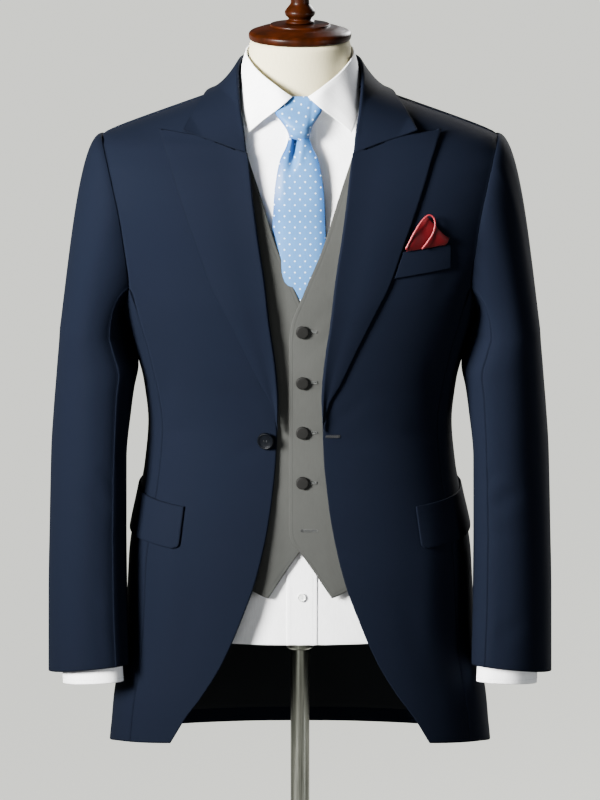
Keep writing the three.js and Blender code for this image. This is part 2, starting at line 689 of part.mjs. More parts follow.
function addCollar() {
  const stations = bothSides(COLLAR);
  const count = 20;
  const fold = through(stations, (row) => place(row, 'fold'), count);
  const edge = through(stations, (row) => place(row, 'edge'), count);
  const sag = through(stations, (row) => new THREE.Vector3(row.mid_sag, 0, 0), count);
  const fall = steps(4).map((v) => fold.map((point, i) => {
    const out = point.clone().lerp(edge[i], v);
    out.z -= 4 * v * (1 - v) * sag[i].x;
    return out.z < 1466 ? pushedOut(out, overCoat) : out;
  }));
  const away = (point) => new THREE.Vector3(0, 0, Math.min(point.z, 1380));
  addWall('coat_collar', 'navy', withNormals(fall, false, away), COLLAR_WALL);
}

function addCoatStand() {
  const stations = bothSides(COLLAR.slice(3));
  const inset = COLLAR_WALL + 0.4;
  const rows = [0, 1].map((t) => through(stations, (row) => {
    const top = place(row, 'fold');
    const radius = Math.hypot(top.x, top.y);
    top.x *= (radius - inset) / radius;
    top.y *= (radius - inset) / radius;
    top.z -= 5;
    const angle = Math.atan2(row.fold_x, -row.fold_y) / DEG;
    return coat.point(row.side * angle, NECK_Z + 0.6).lerp(top, t);
  }, 16));
  const away = (point) => new THREE.Vector3(0, 0, point.z);
  addWall('coat_collar_stand', 'navy', withNormals(rows, false, away), COLLAR_STAND_WALL);
}

const FLAP = { low: 948, high: 996.5, front: 131, slant: 6, corner: 10, backAngle: 102 };

function addFlaps() {
  for (const [tag, side] of SIDES) {
    const grid = steps(3).map((t) => steps(8).map((s) => {
      const z = lerp(FLAP.low, FLAP.high, t);
      const start = coat.frontAngle(FLAP.front + FLAP.slant * (1 - t), z);
      const corner = FLAP.corner * (1 - t) * Math.max(0, 1 - s * 8) ** 2;
      const angle = lerp(start, FLAP.backAngle, s);
      return coat.at(side * angle, z + corner, COAT_WALL + LAID_ON);
    }));
    addWall(`coat_flap_${tag}`, 'navy', grid, COAT_WALL);
  }
}

// The pocket square's top edge, from the lapel over its peak to its outer corner
const SQUARE_EDGE = table(['s', 'x', 'z'], [
  [0, 119.5, 1302.5], [0.25, 128, 1317], [0.5, 137, 1331], [0.62, 141.5, 1335], [0.75, 149, 1327],
  [0.9, 160, 1315], [1, 167, 1310],
]);
const WELT = { inner: 104, outer: 170, lowInner: 1266, lowOuter: 1274, height: 29, clear: 2.2 };

// The lapel's outer edge at a height
const lapelReach = curve(LAPEL_EDGE, 'z', 'x');

function addBreastPocket() {
  const welt = steps(3).map((t) => steps(6).map((s) => {
    const inner = lapelReach(WELT.lowInner + WELT.height * t) + WELT.clear;
    const x = lerp(inner, WELT.outer, s);
    const share = (x - WELT.inner) / (WELT.outer - WELT.inner);
    return coat.atFront(x, lerp(WELT.lowInner, WELT.lowOuter, share) + WELT.height * t, 2.6);
  }));
  addWall('coat_breast_welt', 'navy', welt, 1.9);
  const topX = curve(SQUARE_EDGE, 's', 'x');
  const topZ = curve(SQUARE_EDGE, 's', 'z');
  const square = steps(3).map((t) => steps(10).map((s) => {
    const lowX = lerp(118.5, 163, s);
    const share = (lowX - WELT.inner) / (WELT.outer - WELT.inner);
    const lowZ = lerp(WELT.lowInner, WELT.lowOuter, share) + WELT.height + 0.5;
    const lift = 4.6 + 1.8 * Math.sin(s * Math.PI * 3) * t + 1.5 * Math.sin(t * Math.PI);
    return coat.atFront(lerp(lowX, topX(s), t), lerp(lowZ, topZ(s), t), lift);
  }));
  addWall('pocket_square', 'red', square, 1.6);
}

// A button: a dished disc with a rim, turned to face along a surface's normal
function addButton(name, material, cell, radius, thick) {
  const shares = [[0, 0], [0.85, 0], [1, 0.45], [0.86, 1], [0, 0.84]];
  const outline = shares.map(([across, up]) => new THREE.Vector2(across * radius, up * thick));
  const geometry = new THREE.LatheGeometry(outline, 10);
  geometry.deleteAttribute('normal');
  geometry.deleteAttribute('uv');
  const turn = new THREE.Quaternion().setFromUnitVectors(new THREE.Vector3(0, 1, 0), cell.normal);
  geometry.applyQuaternion(turn);
  geometry.translate(...cell.point.toArray());
  addGeometry(name, material, geometry);
}

function addGeometry(name, material, geometry) {
  const position = geometry.attributes.position;
  const points = Array.from({ length: position.count }, (_, i) => (
    new THREE.Vector3().fromBufferAttribute(position, i)
  ));
  const index = Array.from(geometry.index.array);
  const faces = [];
  for (let i = 0; i < index.length; i += 3) faces.push(index.slice(i, i + 3));
  addSolid(name, material, points, faces);
}

const CUFF_BUTTONS_Z = [806, 819, 832];
const CUFF_BUTTON_ANGLE = 297;

function addCoatButtons() {
  addButton('coat_front_button', 'horn', coat.atFront(-38.4, 1077.5, 0.8), 10, 4);
  for (const [tag, side] of SIDES) {
    addButton(`coat_back_button_${tag}`, 'horn', coat.at(side * 152, 1062, 0.9), 10, 4);
    CUFF_BUTTONS_Z.forEach((z, i) => {
      const rings = [z, z + 4].map((level) => sleeveRing(SLEEVE, level, side));
      const cells = withNormals(rings, true, () => new THREE.Vector3(side * 240, -45, z));
      const cell = cells[0][RING_ANGLES.indexOf(CUFF_BUTTON_ANGLE)];
      cell.point.addScaledVector(cell.normal, 0.6);
      addButton(`coat_cuff_button_${tag}${i + 1}`, 'horn', cell, 6.5, 3);
    });
  }
}

const vEdge = curve(V_EDGE, 'z', 'x');
const waistcoatHem = curve(WAISTCOAT_HEM, 'angle', 'z');
const waistcoatArmhole = curve(WAISTCOAT_ARMHOLE, 'z', 'x');
const WAISTCOAT_ROWS = [893, 920, 947, 960, 975, 1010, 1045, 1079, 1110, 1145, 1191, 1215, CHEST_Z,
  1300, 1358, 1396, SHOULDER_Z, 1420, 1428, 1435, 1445, 1457];
const WAISTCOAT_FREE_Z = 1010;

function waistcoatZ(level, angle) {
  return towardHem(level, waistcoatHem(angle), WAISTCOAT_ROWS[0], WAISTCOAT_FREE_Z);
}

// Above the strap's outer end the panel runs to the shoulder seam
function waistcoatReach(level, angleAt) {
  if (level < 1215) return 90;
  return waistcoat.side(level) > waistcoatArmhole(level) ? angleAt(waistcoatArmhole(level)) : 90;
}

function waistcoatShoulderShare(level) {
  return THREE.MathUtils.smoothstep(level, 1358, 1420);
}

// How far the under front goes in beneath the upper one, by its distance from the middle
function lapDepth(x) {
  const share = 1 - THREE.MathUtils.smoothstep(x, WAISTCOAT_LAP, WAISTCOAT_LAP + 24);
  return share * (WAISTCOAT_WALL + 0.45);
}

function addWaistcoatFronts() {
  const across = (x, z) => waistcoat.frontAngle(x, z);
  for (const [tag, side] of SIDES) {
    const grid = WAISTCOAT_ROWS.map((level) => {
      const start = waistcoat.frontAngle(vEdge(level), level);
      const end = waistcoatReach(level, (x) => waistcoat.frontAngle(x, level));
      return steps(7).map((s) => {
        const angle = spaced(waistcoat, level, [start, end], s, across, waistcoatShoulderShare);
        const z = waistcoatZ(level, angle);
        const under = side < 0 ? lapDepth(waistcoat.point(angle, z).x) : 0;
        return waistcoat.at(side * angle, z, -under);
      });
    });
    addWall(`waistcoat_front_${tag}`, 'grey', trimmed(grid, { right: SEAM }), WAISTCOAT_WALL);
  }
}

function addWaistcoatBack() {
  const across = (x, z) => {
    const behind = waistcoat.backAngle(Math.abs(x), z);
    return x < 0 ? 360 - behind : behind;
  };
  const grid = [WAISTCOAT_ROWS[0], ...HIDDEN_LEVELS].map((level) => {
    const start = waistcoatReach(level, (x) => waistcoat.backAngle(x, level));
    return steps(12).map((s) => {
      const ends = [start, 360 - start];
      const angle = spaced(waistcoat, level, ends, s, across, waistcoatShoulderShare);
      const z = waistcoatZ(level, angle > 180 ? 360 - angle : angle);
      return waistcoat.at(angle, z);
    });
  });
  addWall('waistcoat_back', 'grey', trimmed(grid, { left: SEAM, right: SEAM }), WAISTCOAT_WALL);
}

function addWaistcoatButtons() {
  WAISTCOAT_BUTTONS_Z.forEach((z, i) => {
    addButton(`waistcoat_button_${i + 1}`, 'cloth', waistcoat.atFront(2.8, z, 0.35), 7.5, 4);
  });
}

const shirtNeck = curve(SHIRT_NECK, 'z', 'x');
const shirtArmhole = curve(SHIRT_ARMHOLE, 'z', 'x');
const SHIRT_ROWS = [SHIRT_HEM_Z, 895, 975, 1045, 1079, 1110, 1145, 1180, 1215, CHEST_Z, 1300, 1358,
  1382, 1396, 1404, 1416, 1428, 1436, 1447, 1456, 1465];
const SHIRT_CROWN = [CHEST_Z, 1270, 1300, 1330, 1358, 1382, 1396, 1404];
const SHIRT_ARMPIT_Z = 1238;

function shirtReach(level, angleAt) {
  if (level < CHEST_Z || level > 1400) return 90;
  return angleAt(shirtArmhole(level));
}

function addShirtFronts() {
  for (const [tag, side] of SIDES) {
    const grid = SHIRT_ROWS.map((level) => {
      const neck = level > 1436 ? shirtNeck(level) : 0;
      const start = shirt.frontAngle(neck, level);
      const end = shirtReach(level, (x) => shirt.frontAngle(x, level));
      return steps(6).map((s) => shirt.at(side * lerp(start, end, s), level));
    });
    const edges = { left: SEAM / 2, right: SEAM, top: 0.6 };
    addWall(`shirt_front_${tag}`, 'white', trimmed(grid, edges), SHIRT_WALL);
  }
}

function addShirtBack() {
  const grid = SHIRT_ROWS.map((level) => {
    const start = shirtReach(level, (x) => shirt.backAngle(x, level));
    return steps(12).map((s) => shirt.at(lerp(start, 360 - start, s), level));
  });
  addWall('shirt_back', 'white', trimmed(grid, { left: SEAM, right: SEAM, top: 0.6 }), SHIRT_WALL);
}

function addShirtPlacket() {
  const rows = SHIRT_ROWS.filter((z) => z <= 1428);
  const lift = SHIRT_WALL + 0.35;
  const grid = rows.map((z) => [-15.5, 2, 19.5].map((x) => shirt.atFront(x, z, lift)));
  addWall('shirt_placket', 'white', trimmed(grid, { bottom: 0.2 }), SHIRT_WALL);
  addButton('shirt_button', 'pearl', shirt.atFront(2, 893, SHIRT_WALL + 0.8), 5, 2.2);
}

function addShirtSleeves() {
  for (const [tag, side] of SIDES) {
    const low = [0.25, 0.5, 0.75].map((share) => {
      const z = SHIRT_ARMPIT_Z + (CHEST_Z - SHIRT_ARMPIT_Z) * Math.abs(2 * share - 1) ** 2;
      return shirt.at(side * lerp(72, 108, share), z, 6);
    });
    const outward = new THREE.Vector3(side * 1.2, 0, 0);
    const ring = armholeRing(shirt, side, shirtArmhole, low, SHIRT_CROWN).map((cell) => ({
      point: cell.point.clone().add(outward),
      normal: cell.normal,
    }));
    const shape = { reach: 22, least: 1.35, crown: SHIRT_CROWN_STEPS };
    const grid = sleeveGrid(ring, SHIRT_SLEEVE, side, shape);
    addWall(`shirt_sleeve_${tag}`, 'white', grid, SHIRT_WALL, true);
    const cuff = SHIRT_CUFF.map((row) => sleeveRing(SHIRT_CUFF, row.z, side));
    const away = (point) => new THREE.Vector3(side * 240, -52, point.z);
    addWall(`shirt_cuff_${tag}`, 'white', withNormals(cuff, true, away), 1.6, true);
  }
}

function addShirtCollar() {
  const stations = bothSides(SHIRT_COLLAR);
  const fold = through(stations, (row) => place(row, 'fold'), 20);
  const edge = through(stations, (row) => place(row, 'edge'), 20);
  const leaf = steps(3).map((v) => fold.map((point, i) => {
    const out = point.clone().lerp(edge[i], v);
    const bulge = 1 + 0.016 * Math.sin(v * Math.PI);
    return new THREE.Vector3(out.x * bulge, out.y * bulge, out.z);
  }));
  const away = (point) => new THREE.Vector3(0, 0, point.z);
  addWall('shirt_collar_leaf', 'white', withNormals(leaf, false, away), LEAF_WALL);
  const inset = LEAF_WALL + 0.8;
  const stand = [0, 1].map((t) => through(stations, (row) => {
    const top = place(row, 'fold');
    const radius = Math.hypot(top.x, top.y);
    top.x *= (radius - inset) / radius;
    top.y *= (radius - inset) / radius;
    top.z -= 1.6;
    return shirt.point(row.side * row.foot_angle, row.foot_z).lerp(top, t);
  }, 20));
  addWall('shirt_collar_stand', 'white', withNormals(stand, false, away), SHIRT_WALL);
}

function addTie() {
  const half = curve(TIE_BLADE, 'z', 'half');
  const lift = curve(TIE_BLADE, 'z', 'lift');
  const blade = TIE_BLADE.map(({ z }) => [-1, -0.5, 0, 0.5, 1].map((s) => {
    const crown = z > 1320 ? 1.5 * (1 - s * s) : 0;
    const point = shirt.atFront(s * half(z) - 1, z).point;
    point.y -= lift(z) + crown;
    return point;
  }));
  const away = (point) => new THREE.Vector3(point.x, 0, point.z);
  addWall('tie_blade', 'blue', withNormals(blade, false, away), TIE_WALL);
  const ring = 12;
  const points = KNOT.flatMap((row) => steps(ring - 1).map((_, j) => {
    const angle = 2 * Math.PI * j / ring;
    const square = (value) => Math.sign(value) * Math.abs(value) ** 0.75;
    const middle = (row.front + row.back) / 2;
    const depth = (row.front - row.back) / 2;
    const x = row.half * square(Math.sin(angle)) - 1;
    return new THREE.Vector3(x, -middle - depth * square(Math.cos(angle)), row.z);
  }));
  addLoft('tie_knot', 'blue', points, ring);
}

// A solid through stacked rings of points, closed by a fan at each end
function addLoft(name, material, points, ring) {
  const rows = points.length / ring;
  const faces = [];
  for (let i = 0; i < rows - 1; i++) {
    for (let j = 0; j < ring; j++) {
      const next = (j + 1) % ring;
      const [low, high] = [i * ring, (i + 1) * ring];
      faces.push([low + j, low + next, high + next], [low + j, high + next, high + j]);
    }
  }
  const centre = (row) => points.slice(row * ring, (row + 1) * ring)
    .reduce((sum, p) => sum.add(p), new THREE.Vector3()).divideScalar(ring);
  const bottom = points.length;
  const top = bottom + 1;
  for (let j = 0; j < ring; j++) {
    const next = (j + 1) % ring;
    faces.push([bottom, next, j], [top, (rows - 1) * ring + j, (rows - 1) * ring + next]);
  }
  addSolid(name, material, points.concat([centre(0), centre(rows - 1)]), faces);
}

function addForm() {
  const ring = 28;
  const levels = [...FORM_LEVELS, ...FORM_NECK.map((row) => row.z)];
  const points = levels.flatMap((z) => steps(ring - 1).map((_, j) => form.point(360 * j / ring, z)));
  addLoft('form_torso', 'jersey', points, ring);
}

function addTurned(name, material, profile, segments = 20) {
  const outline = profile.map(([radius, z]) => new THREE.Vector2(radius, z));
  const geometry = new THREE.LatheGeometry(outline, segments);
  geometry.rotateX(Math.PI / 2);
  geometry.deleteAttribute('normal');
  geometry.deleteAttribute('uv');
  addGeometry(name, material, geometry);
}

// A profile of radius and height, moved up
function raised(z, profile) {
  return profile.map(([radius, height]) => [radius, z + height]);
}

function addStand() {
  addTurned('form_cap', 'wood', raised(CAP_Z, [[0, 0], [57, 0], [58.5, 3], [58.5, 7.5], [56, 10],
    [44, 14], [34, 16], [34, 18], [0, 19]]));
  addTurned('form_finial', 'wood', raised(CAP_Z + 19 + SEAM, [[0, 0], [16, 0], [16.5, 2], [12, 4.5],
    [17, 9], [17.6, 13], [14, 18], [10.5, 22], [11, 40], [15, 52], [16, 62], [11, 71], [0, 74]]), 16);
  const neck = FORM_BOTTOM_Z - SEAM;
  addTurned('stand_socket', 'steel', raised(neck, [[0, 0], [24, 0], [24, -6], [16, -9], [16, -34],
    [14, -36], [0, -36]]), 16);
  const top = neck - 36 - SEAM;
  const collar = BASE_THICK + 26;
  const tube = [[0, collar + SEAM], [POLE_RADIUS, collar + SEAM], [POLE_RADIUS, top], [0, top]];
  addTurned('stand_pole', 'steel', tube, 16);
  addTurned('stand_base', 'steel', [[0, 0], [BASE_RADIUS - 2, 0], [BASE_RADIUS, 2],
    [BASE_RADIUS, BASE_THICK - 4], [BASE_RADIUS - 6, BASE_THICK], [26, BASE_THICK + 4],
    [18, BASE_THICK + 8], [18, collar], [0, collar]], 32);
}

addForm();
addStand();
addShirtFronts();
addShirtBack();
addShirtPlacket();
addShirtSleeves();
addShirtCollar();
addTie();
addWaistcoatFronts();
addWaistcoatBack();
addWaistcoatButtons();
addForeparts();
addSideBodies();
addCoatBacks();
addTailLining();
addCoatSleeves();
addLapels();
addCollar();
addCoatStand();
addFlaps();
addBreastPocket();
addCoatButtons();

export default group;
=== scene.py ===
import math

import bmesh
import bpy
import numpy as np
from bpy.props import FloatProperty, FloatVectorProperty, PointerProperty
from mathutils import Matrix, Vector


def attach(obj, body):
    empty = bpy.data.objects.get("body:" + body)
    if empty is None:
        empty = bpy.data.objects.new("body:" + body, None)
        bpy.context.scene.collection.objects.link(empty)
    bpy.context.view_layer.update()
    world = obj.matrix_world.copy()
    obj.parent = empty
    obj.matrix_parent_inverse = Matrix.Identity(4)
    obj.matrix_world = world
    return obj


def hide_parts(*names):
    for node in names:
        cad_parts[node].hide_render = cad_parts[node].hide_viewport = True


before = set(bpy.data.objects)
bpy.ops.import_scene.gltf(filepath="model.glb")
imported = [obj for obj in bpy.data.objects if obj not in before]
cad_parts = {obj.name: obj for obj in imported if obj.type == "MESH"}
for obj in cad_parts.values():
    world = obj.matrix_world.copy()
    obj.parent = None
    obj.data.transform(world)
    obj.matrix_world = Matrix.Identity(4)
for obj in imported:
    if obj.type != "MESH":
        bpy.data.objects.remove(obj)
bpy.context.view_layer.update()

bl_info = {
    "name": "Morning suit on a dress form",
    "version": (1, 0, 0),
    "blender": (4, 5, 0),
    "location": "View3D > Sidebar > Suit",
    "description": "Cloth, trim, dress form and studio for a morning suit",
    "category": "Object",
}

MM = 0.001
# The wearer's right and left, with the sign of X
SIDES = (("r", -1), ("l", 1))
WAIST_Z = 1079
ARMPIT_Z = 1205
CHEST_Z = 1245
SHOULDER_Z = 1410
NECK_Z = 1468
BREAK_Z = 1086
GORGE_Z = 1400
SEAM_ANGLE = 68.5
SEAM = 0.3
COAT_WALL = 2.2
SHIRT_HEM_Z = 836.5
FORM_BOTTOM_Z, FORM_TOP_Z = 843, 1518.5
CAP_Z = 1519.4
LEVELS = [775, 815, 870, 925, 975, 1010, 1045, 1079, 1110, 1145, 1180, 1215, CHEST_Z,
          1270, 1300, 1330, 1358, 1382, 1398, SHOULDER_Z, 1420, 1432, 1445, 1457, NECK_Z]
FORM_LEVELS = [FORM_BOTTOM_Z, 895, 975, 1045, 1079, 1110, 1145, 1215, CHEST_Z, 1300, 1345,
               1377, 1397, 1408, 1418, 1430, 1443]


def table(names, rows):
    """Named columns from rows of numbers."""
    return {name: np.array(column, float) for name, column in zip(names.split(), zip(*rows))}


# Horizontal sections of the coat's outside, in millimetres
COAT_SECTIONS = table("z side front back power", [
    (660, 223.5, 140, 154, 2.4), (692, 221.6, 140, 152, 2.4), (722, 218.5, 139.5, 150, 2.4),
    (764, 213.5, 138, 147, 2.4), (791, 207.5, 137, 145, 2.4), (840, 201.5, 134, 140, 2.4),
    (880, 199.5, 131, 135, 2.4), (922, 197.4, 128, 130, 2.4), (952, 193.5, 125, 126, 2.4),
    (994, 185, 122, 120, 2.4), (1027, 179, 119, 114, 2.4), (WAIST_Z, 174.6, 116, 108, 2.4),
    (1125, 180, 120, 109, 2.4), (1151, 186, 124, 111.5, 2.4), (1180, 194, 128, 115, 2.4),
    (ARMPIT_Z, 203, 131, 118, 2.4), (1240, 215, 134, 121, 2.4), (1300, 236, 132, 122, 2.4),
    (1350, 248, 124, 119, 2.4), (1380, 247, 112, 113, 2.4), (1400, 237, 101, 106, 2.3),
    (SHOULDER_Z, 225.3, 95.5, 101.5, 2.25), (1416, 212.5, 91.5, 98.5, 2.2),
    (1431, 173, 84, 92.5, 2.15), (1446, 131, 77.5, 86, 2.1), (1457, 101, 73.5, 81, 2.05),
    (1465, 83, 71, 77.5, 2), (1475, 70, 68.5, 74.5, 2),
])
# How much smaller each layer is than the one over it
WAISTCOAT_EASE = table("z side front back down", [
    (820, 24, 18, 24, 0), (900, 22, 14, 20, 0), (960, 16, 8.5, 14, 0), (1027, 9, 4.6, 8, 0),
    (WAIST_Z, 5, 3.3, 4.5, 0), (1125, 9, 4.5, 5, 0), (ARMPIT_Z, 20, 6.5, 7, 0),
    (1300, 24, 7, 7, 0), (1350, 16, 6, 6, 1), (1380, 9, 4.5, 4.5, 2.4),
    (1400, 3.4, 3.4, 3.4, 3.4), (1428, 3.4, 3.4, 4.1, 3.4), (1480, 3.4, 3.4, 3.4, 3.4),
])
SHIRT_EASE = table("z side front back down", [
    (820, 4.6, 8.8, 4.6, 0), (1150, 4.6, 8.8, 5, 0), (1200, 11.5, 8.8, 8, 0),
    (1245, 9, 8.8, 6.5, 0), (1300, 5.5, 8.8, 5.5, 0), (1350, 4, 7, 4.8, 0.6),
    (1380, 3.2, 4.4, 4.4, 1.6), (1405, 3, 3.2, 4, 2.9), (1430, 4.8, 4.2, 7.2, 4.5),
    (1445, 3.2, 3, 4, 3), (1480, 2.6, 2.6, 3.2, 2.6),
])
FORM_EASE = table("z side front back down", [
    (820, 3.2, 3, 3.2, 0), (1180, 5, 2.6, 3.2, 0), (1240, 16, 2.6, 3.2, 0),
    (1300, 26, 2.6, 3.2, 0), (1350, 36, 2.4, 3, 0.3), (1380, 38, 2.2, 2.6, 0.8),
    (1400, 34, 2.2, 2.2, 1.4), (1412, 14, 2.6, 2.4, 1.8), (1418, 2.4, 3.2, 2.6, 1.8),
    (1440, 3, 5.6, 2.8, 1.8), (1480, 2, 3, 2.6, 1.8),
])
FORM_NECK = table("z side front back power", [
    (1454, 78, 63, 70, 2.05), (1463, 64.6, 60.4, 64.2, 2), (1475, 60.8, 59.2, 61, 2),
    (1497, 58.6, 58.6, 59.4, 2), (1518.5, 57.5, 57.5, 57.5, 2),
])
COLLAR_EASE = table("z side front back down", [
    (1380, -4.2, -4.2, -4.2, -3), (1480, -4.2, -4.2, -4.2, -3),
])
FRONT_EDGE = table("z x", [
    (700, 164), (722, 149), (750, 132), (778, 112), (810, 93.5), (845, 77), (875, 65),
    (908, 53), (941, 44), (980, 36), (1016, 31), (1055, 27.2), (BREAK_Z, 26), (1101, 27),
    (1135, 28.4), (1174, 31.5), (1218, 37.5), (1266, 43), (1318, 51), (1359, 56.5),
    (GORGE_Z, 61), (1429, 65.5), (1450, 68.5), (NECK_Z, 70),
])
HEM = table("angle z", [
    (45, 726), (52.6, 722), (60, 718.5), (68.5, 714), (75, 710), (90, 698), (105, 690),
    (120, 684.5), (150, 680.5), (180, 680),
])
ARMHOLE = table("z x", [
    (ARMPIT_Z, 203), (1225, 196), (CHEST_Z, 194.8), (1270, 196.5), (1300, 200.4),
    (1330, 205), (1358, 211.2), (1382, 217), (1398, 221.5), (SHOULDER_Z, 225.3),
])
LAPEL_EDGE = table("roll x z", [
    (1088, 27.4, 1100), (1108, 33, 1122), (1130, 46, 1146), (1155, 62, 1181),
    (1185, 84, 1226), (1220, 101.5, 1261), (1260, 114.5, 1298), (1300, 126.5, 1331),
    (1340, 138, 1364), (1375, 150, 1400), (GORGE_Z, 159.5, 1424),
])
COLLAR = table("fold_x fold_y fold_z sag edge_x edge_y edge_z", [
    (62, -99.5, 1405, 0, 133, -76.4, 1428.5), (65.5, -87, 1429, 0.5, 127.5, -62, 1437.5),
    (70, -69, 1452, 2, 119, -42, 1446.5), (73, -38, 1477, 4.5, 111, -16, 1456.5),
    (72.5, 0, 1491, 6, 107, 12, 1459), (64.5, 38, 1495.5, 5, 94, 49, 1457.5),
    (40, 67, 1497, 3.5, 56, 79, 1456.5), (0, 78.5, 1497.5, 3, 0, 91.5, 1455),
])
SLEEVE_COLUMNS = "z outer inner centre depth shear drop rise"
SLEEVE = table(SLEEVE_COLUMNS, [
    (796, 287.5, 200, -51, 54, 0.26, 5, 11), (880, 288, 200.5, -37, 59, 0.2, 0, 0),
    (965, 286.5, 201, -25, 63, 0.18, 0, 0), (1040, 284.5, 201, -15, 67, 0.18, 0, 0),
    (1095, 282, 194.4, -8, 71, 0.12, 0, 0), (1120, 280.3, 190.4, -5.5, 73, 0.09, 0, 0),
    (1146, 278.5, 185.2, -3, 75, 0.06, 0, 0), (1165, 277, 189.8, -1.3, 76.1, 0.03, 0, 0),
    (1185, 275.6, 195, 0, 77, 0, 0, 0),
])
CROWN_ANGLES = [0, 17, 31, 47, 63, 80, 97, 115, 148, 180]
SLEEVE_TOP_Z, SLEEVE_END_Z = 1185.0, 796.0
# How far a sleeve's head bows out and swings in, and how far its lower end follows the armhole's height
COAT_BOW, SHIRT_BOW, CROWN_SWING, CROWN_FALL = 24.7, 29.7, -13.6, 0.467
HEM_CORNER_ANGLE = 52.6
SHIRT_SLEEVE = table(SLEEVE_COLUMNS, [
    (834, 274, 209, -48, 43, 0.24, 0, 0), (1000, 275, 209.5, -21, 53, 0.18, 0, 0),
    (1150, 266, 206, -3, 62, 0, 0, 0),
])
SHIRT_SLEEVE_TOP_Z = 1150.0
SHIRT_CUFF = table(SLEEVE_COLUMNS, [
    (780, 271, 205, -55, 41, 0.26, 2, 8), (800, 272, 206, -52, 41, 0.26, 1.2, 4),
    (833.6, 273, 208, -48, 42, 0.24, 0, 0),
])
V_EDGE = table("z x", [
    (893, 36), (920, 18.5), (947, 0), (960, -10), (975, -12.5), (1191, -12.5), (1215, -9.5),
    (1237, -1), (1260, 8.5), (1298, 24.5), (1364, 46), (1411, 62), (1440, 69), (1463, 74),
])
WAISTCOAT_HEM = table("angle z", [
    (0, 893), (17, 893), (26, 901), (60, 922), (90, 937), (180, 930),
])
WAISTCOAT_ARMHOLE = table("z x", [
    (1215, 181), (CHEST_Z, 174), (1270, 166), (1300, 158), (1358, 148), (1398, 146),
    (1420, 147), (1435, 149),
])
SHIRT_NECK = table("z x", [(1436, 2), (1440, 22), (1447, 42), (1456, 57), (1465, 67)])
SHIRT_ARMHOLE = table("z x", [
    (1215, 190), (CHEST_Z, 186), (1270, 187), (1300, 190), (1330, 194), (1358, 199),
    (1382, 204), (1396, 208.5), (1404, 211),
])
SHIRT_COLLAR = table("fold_x fold_y fold_z edge_x edge_y edge_z foot_angle foot_z", [
    (9, -73.2, 1466, 58.5, -80.5, 1425.8, 5, 1439.4),
    (24.5, -69.5, 1476, 61.5, -75.5, 1432, 20, 1442.6),
    (43, -58, 1487.5, 66, -61.5, 1446, 38, 1450.4),
    (57, -33, 1498.5, 68.8, -37, 1459, 58, 1460.6),
    (62.3, 0, 1505.5, 69.3, 2, 1468, 90, 1467),
    (55.5, 30, 1509, 61, 38, 1470.5, 120, 1467),
    (32, 54.5, 1511, 35, 64, 1472, 150, 1467),
    (0, 63.3, 1511.5, 0, 73.3, 1472.5, 180, 1467),
])
TIE_BLADE = table("z half lift", [
    (1046, 3, 3.8), (1079, 38, 3.8), (1110, 37.6, 3.8), (1145, 37, 3.8), (1180, 36, 3.8),
    (1215, 35, 3.8), (CHEST_Z, 34, 3.8), (1275, 32.5, 4.2), (1311, 30.5, 4), (1329, 30, 5.4),
    (1347, 29.3, 9), (1366, 28, 11), (1383, 25.5, 13), (1399, 22, 15), (1413, 15, 16),
    (1423.4, 11.4, 16),
])
SQUARE_EDGE = table("s x z", [
    (0, 119.5, 1302.5), (0.25, 128, 1317), (0.5, 137, 1331), (0.62, 141.5, 1335),
    (0.75, 149, 1327), (0.9, 160, 1315), (1, 167, 1310),
])


def curve(rows, key, value):
    """A smooth curve through a table's rows that never overshoots between two of them."""
    x, y = rows[key], rows[value]
    slope = np.diff(y) / np.diff(x)
    product, total = slope[:-1] * slope[1:], slope[:-1] + slope[1:]
    inner = np.where(product > 0, 2 * product / np.where(total == 0, 1, total), 0)
    tangent = np.concatenate([slope[:1], inner, slope[-1:]])

    def at(wanted):
        v = np.asarray(wanted, float)
        i = np.clip(np.searchsorted(x, v, side="right") - 1, 0, len(x) - 2)
        width = x[i + 1] - x[i]
        t = (v - x[i]) / width
        inside = (y[i] + (y[i + 1] - y[i]) * t * t * (3 - 2 * t)
                  + t * (1 - t) ** 2 * width * tangent[i] + t * t * (t - 1) * width * tangent[i + 1])
        low, high = y[0] + (v - x[0]) * slope[0], y[-1] + (v - x[-1]) * slope[-1]
        return np.where(v <= x[0], low, np.where(v >= x[-1], high, inside))
    return at


def smooth(value, low, high):
    """0 below low, 1 above high and eased between."""
    t = np.clip((np.asarray(value, float) - low) / (high - low), 0, 1)
    return t * t * (3 - 2 * t)


def unit(vectors):
    """The same directions at length 1."""
    return vectors / np.maximum(np.linalg.norm(vectors, axis=-1, keepdims=True), 1e-9)


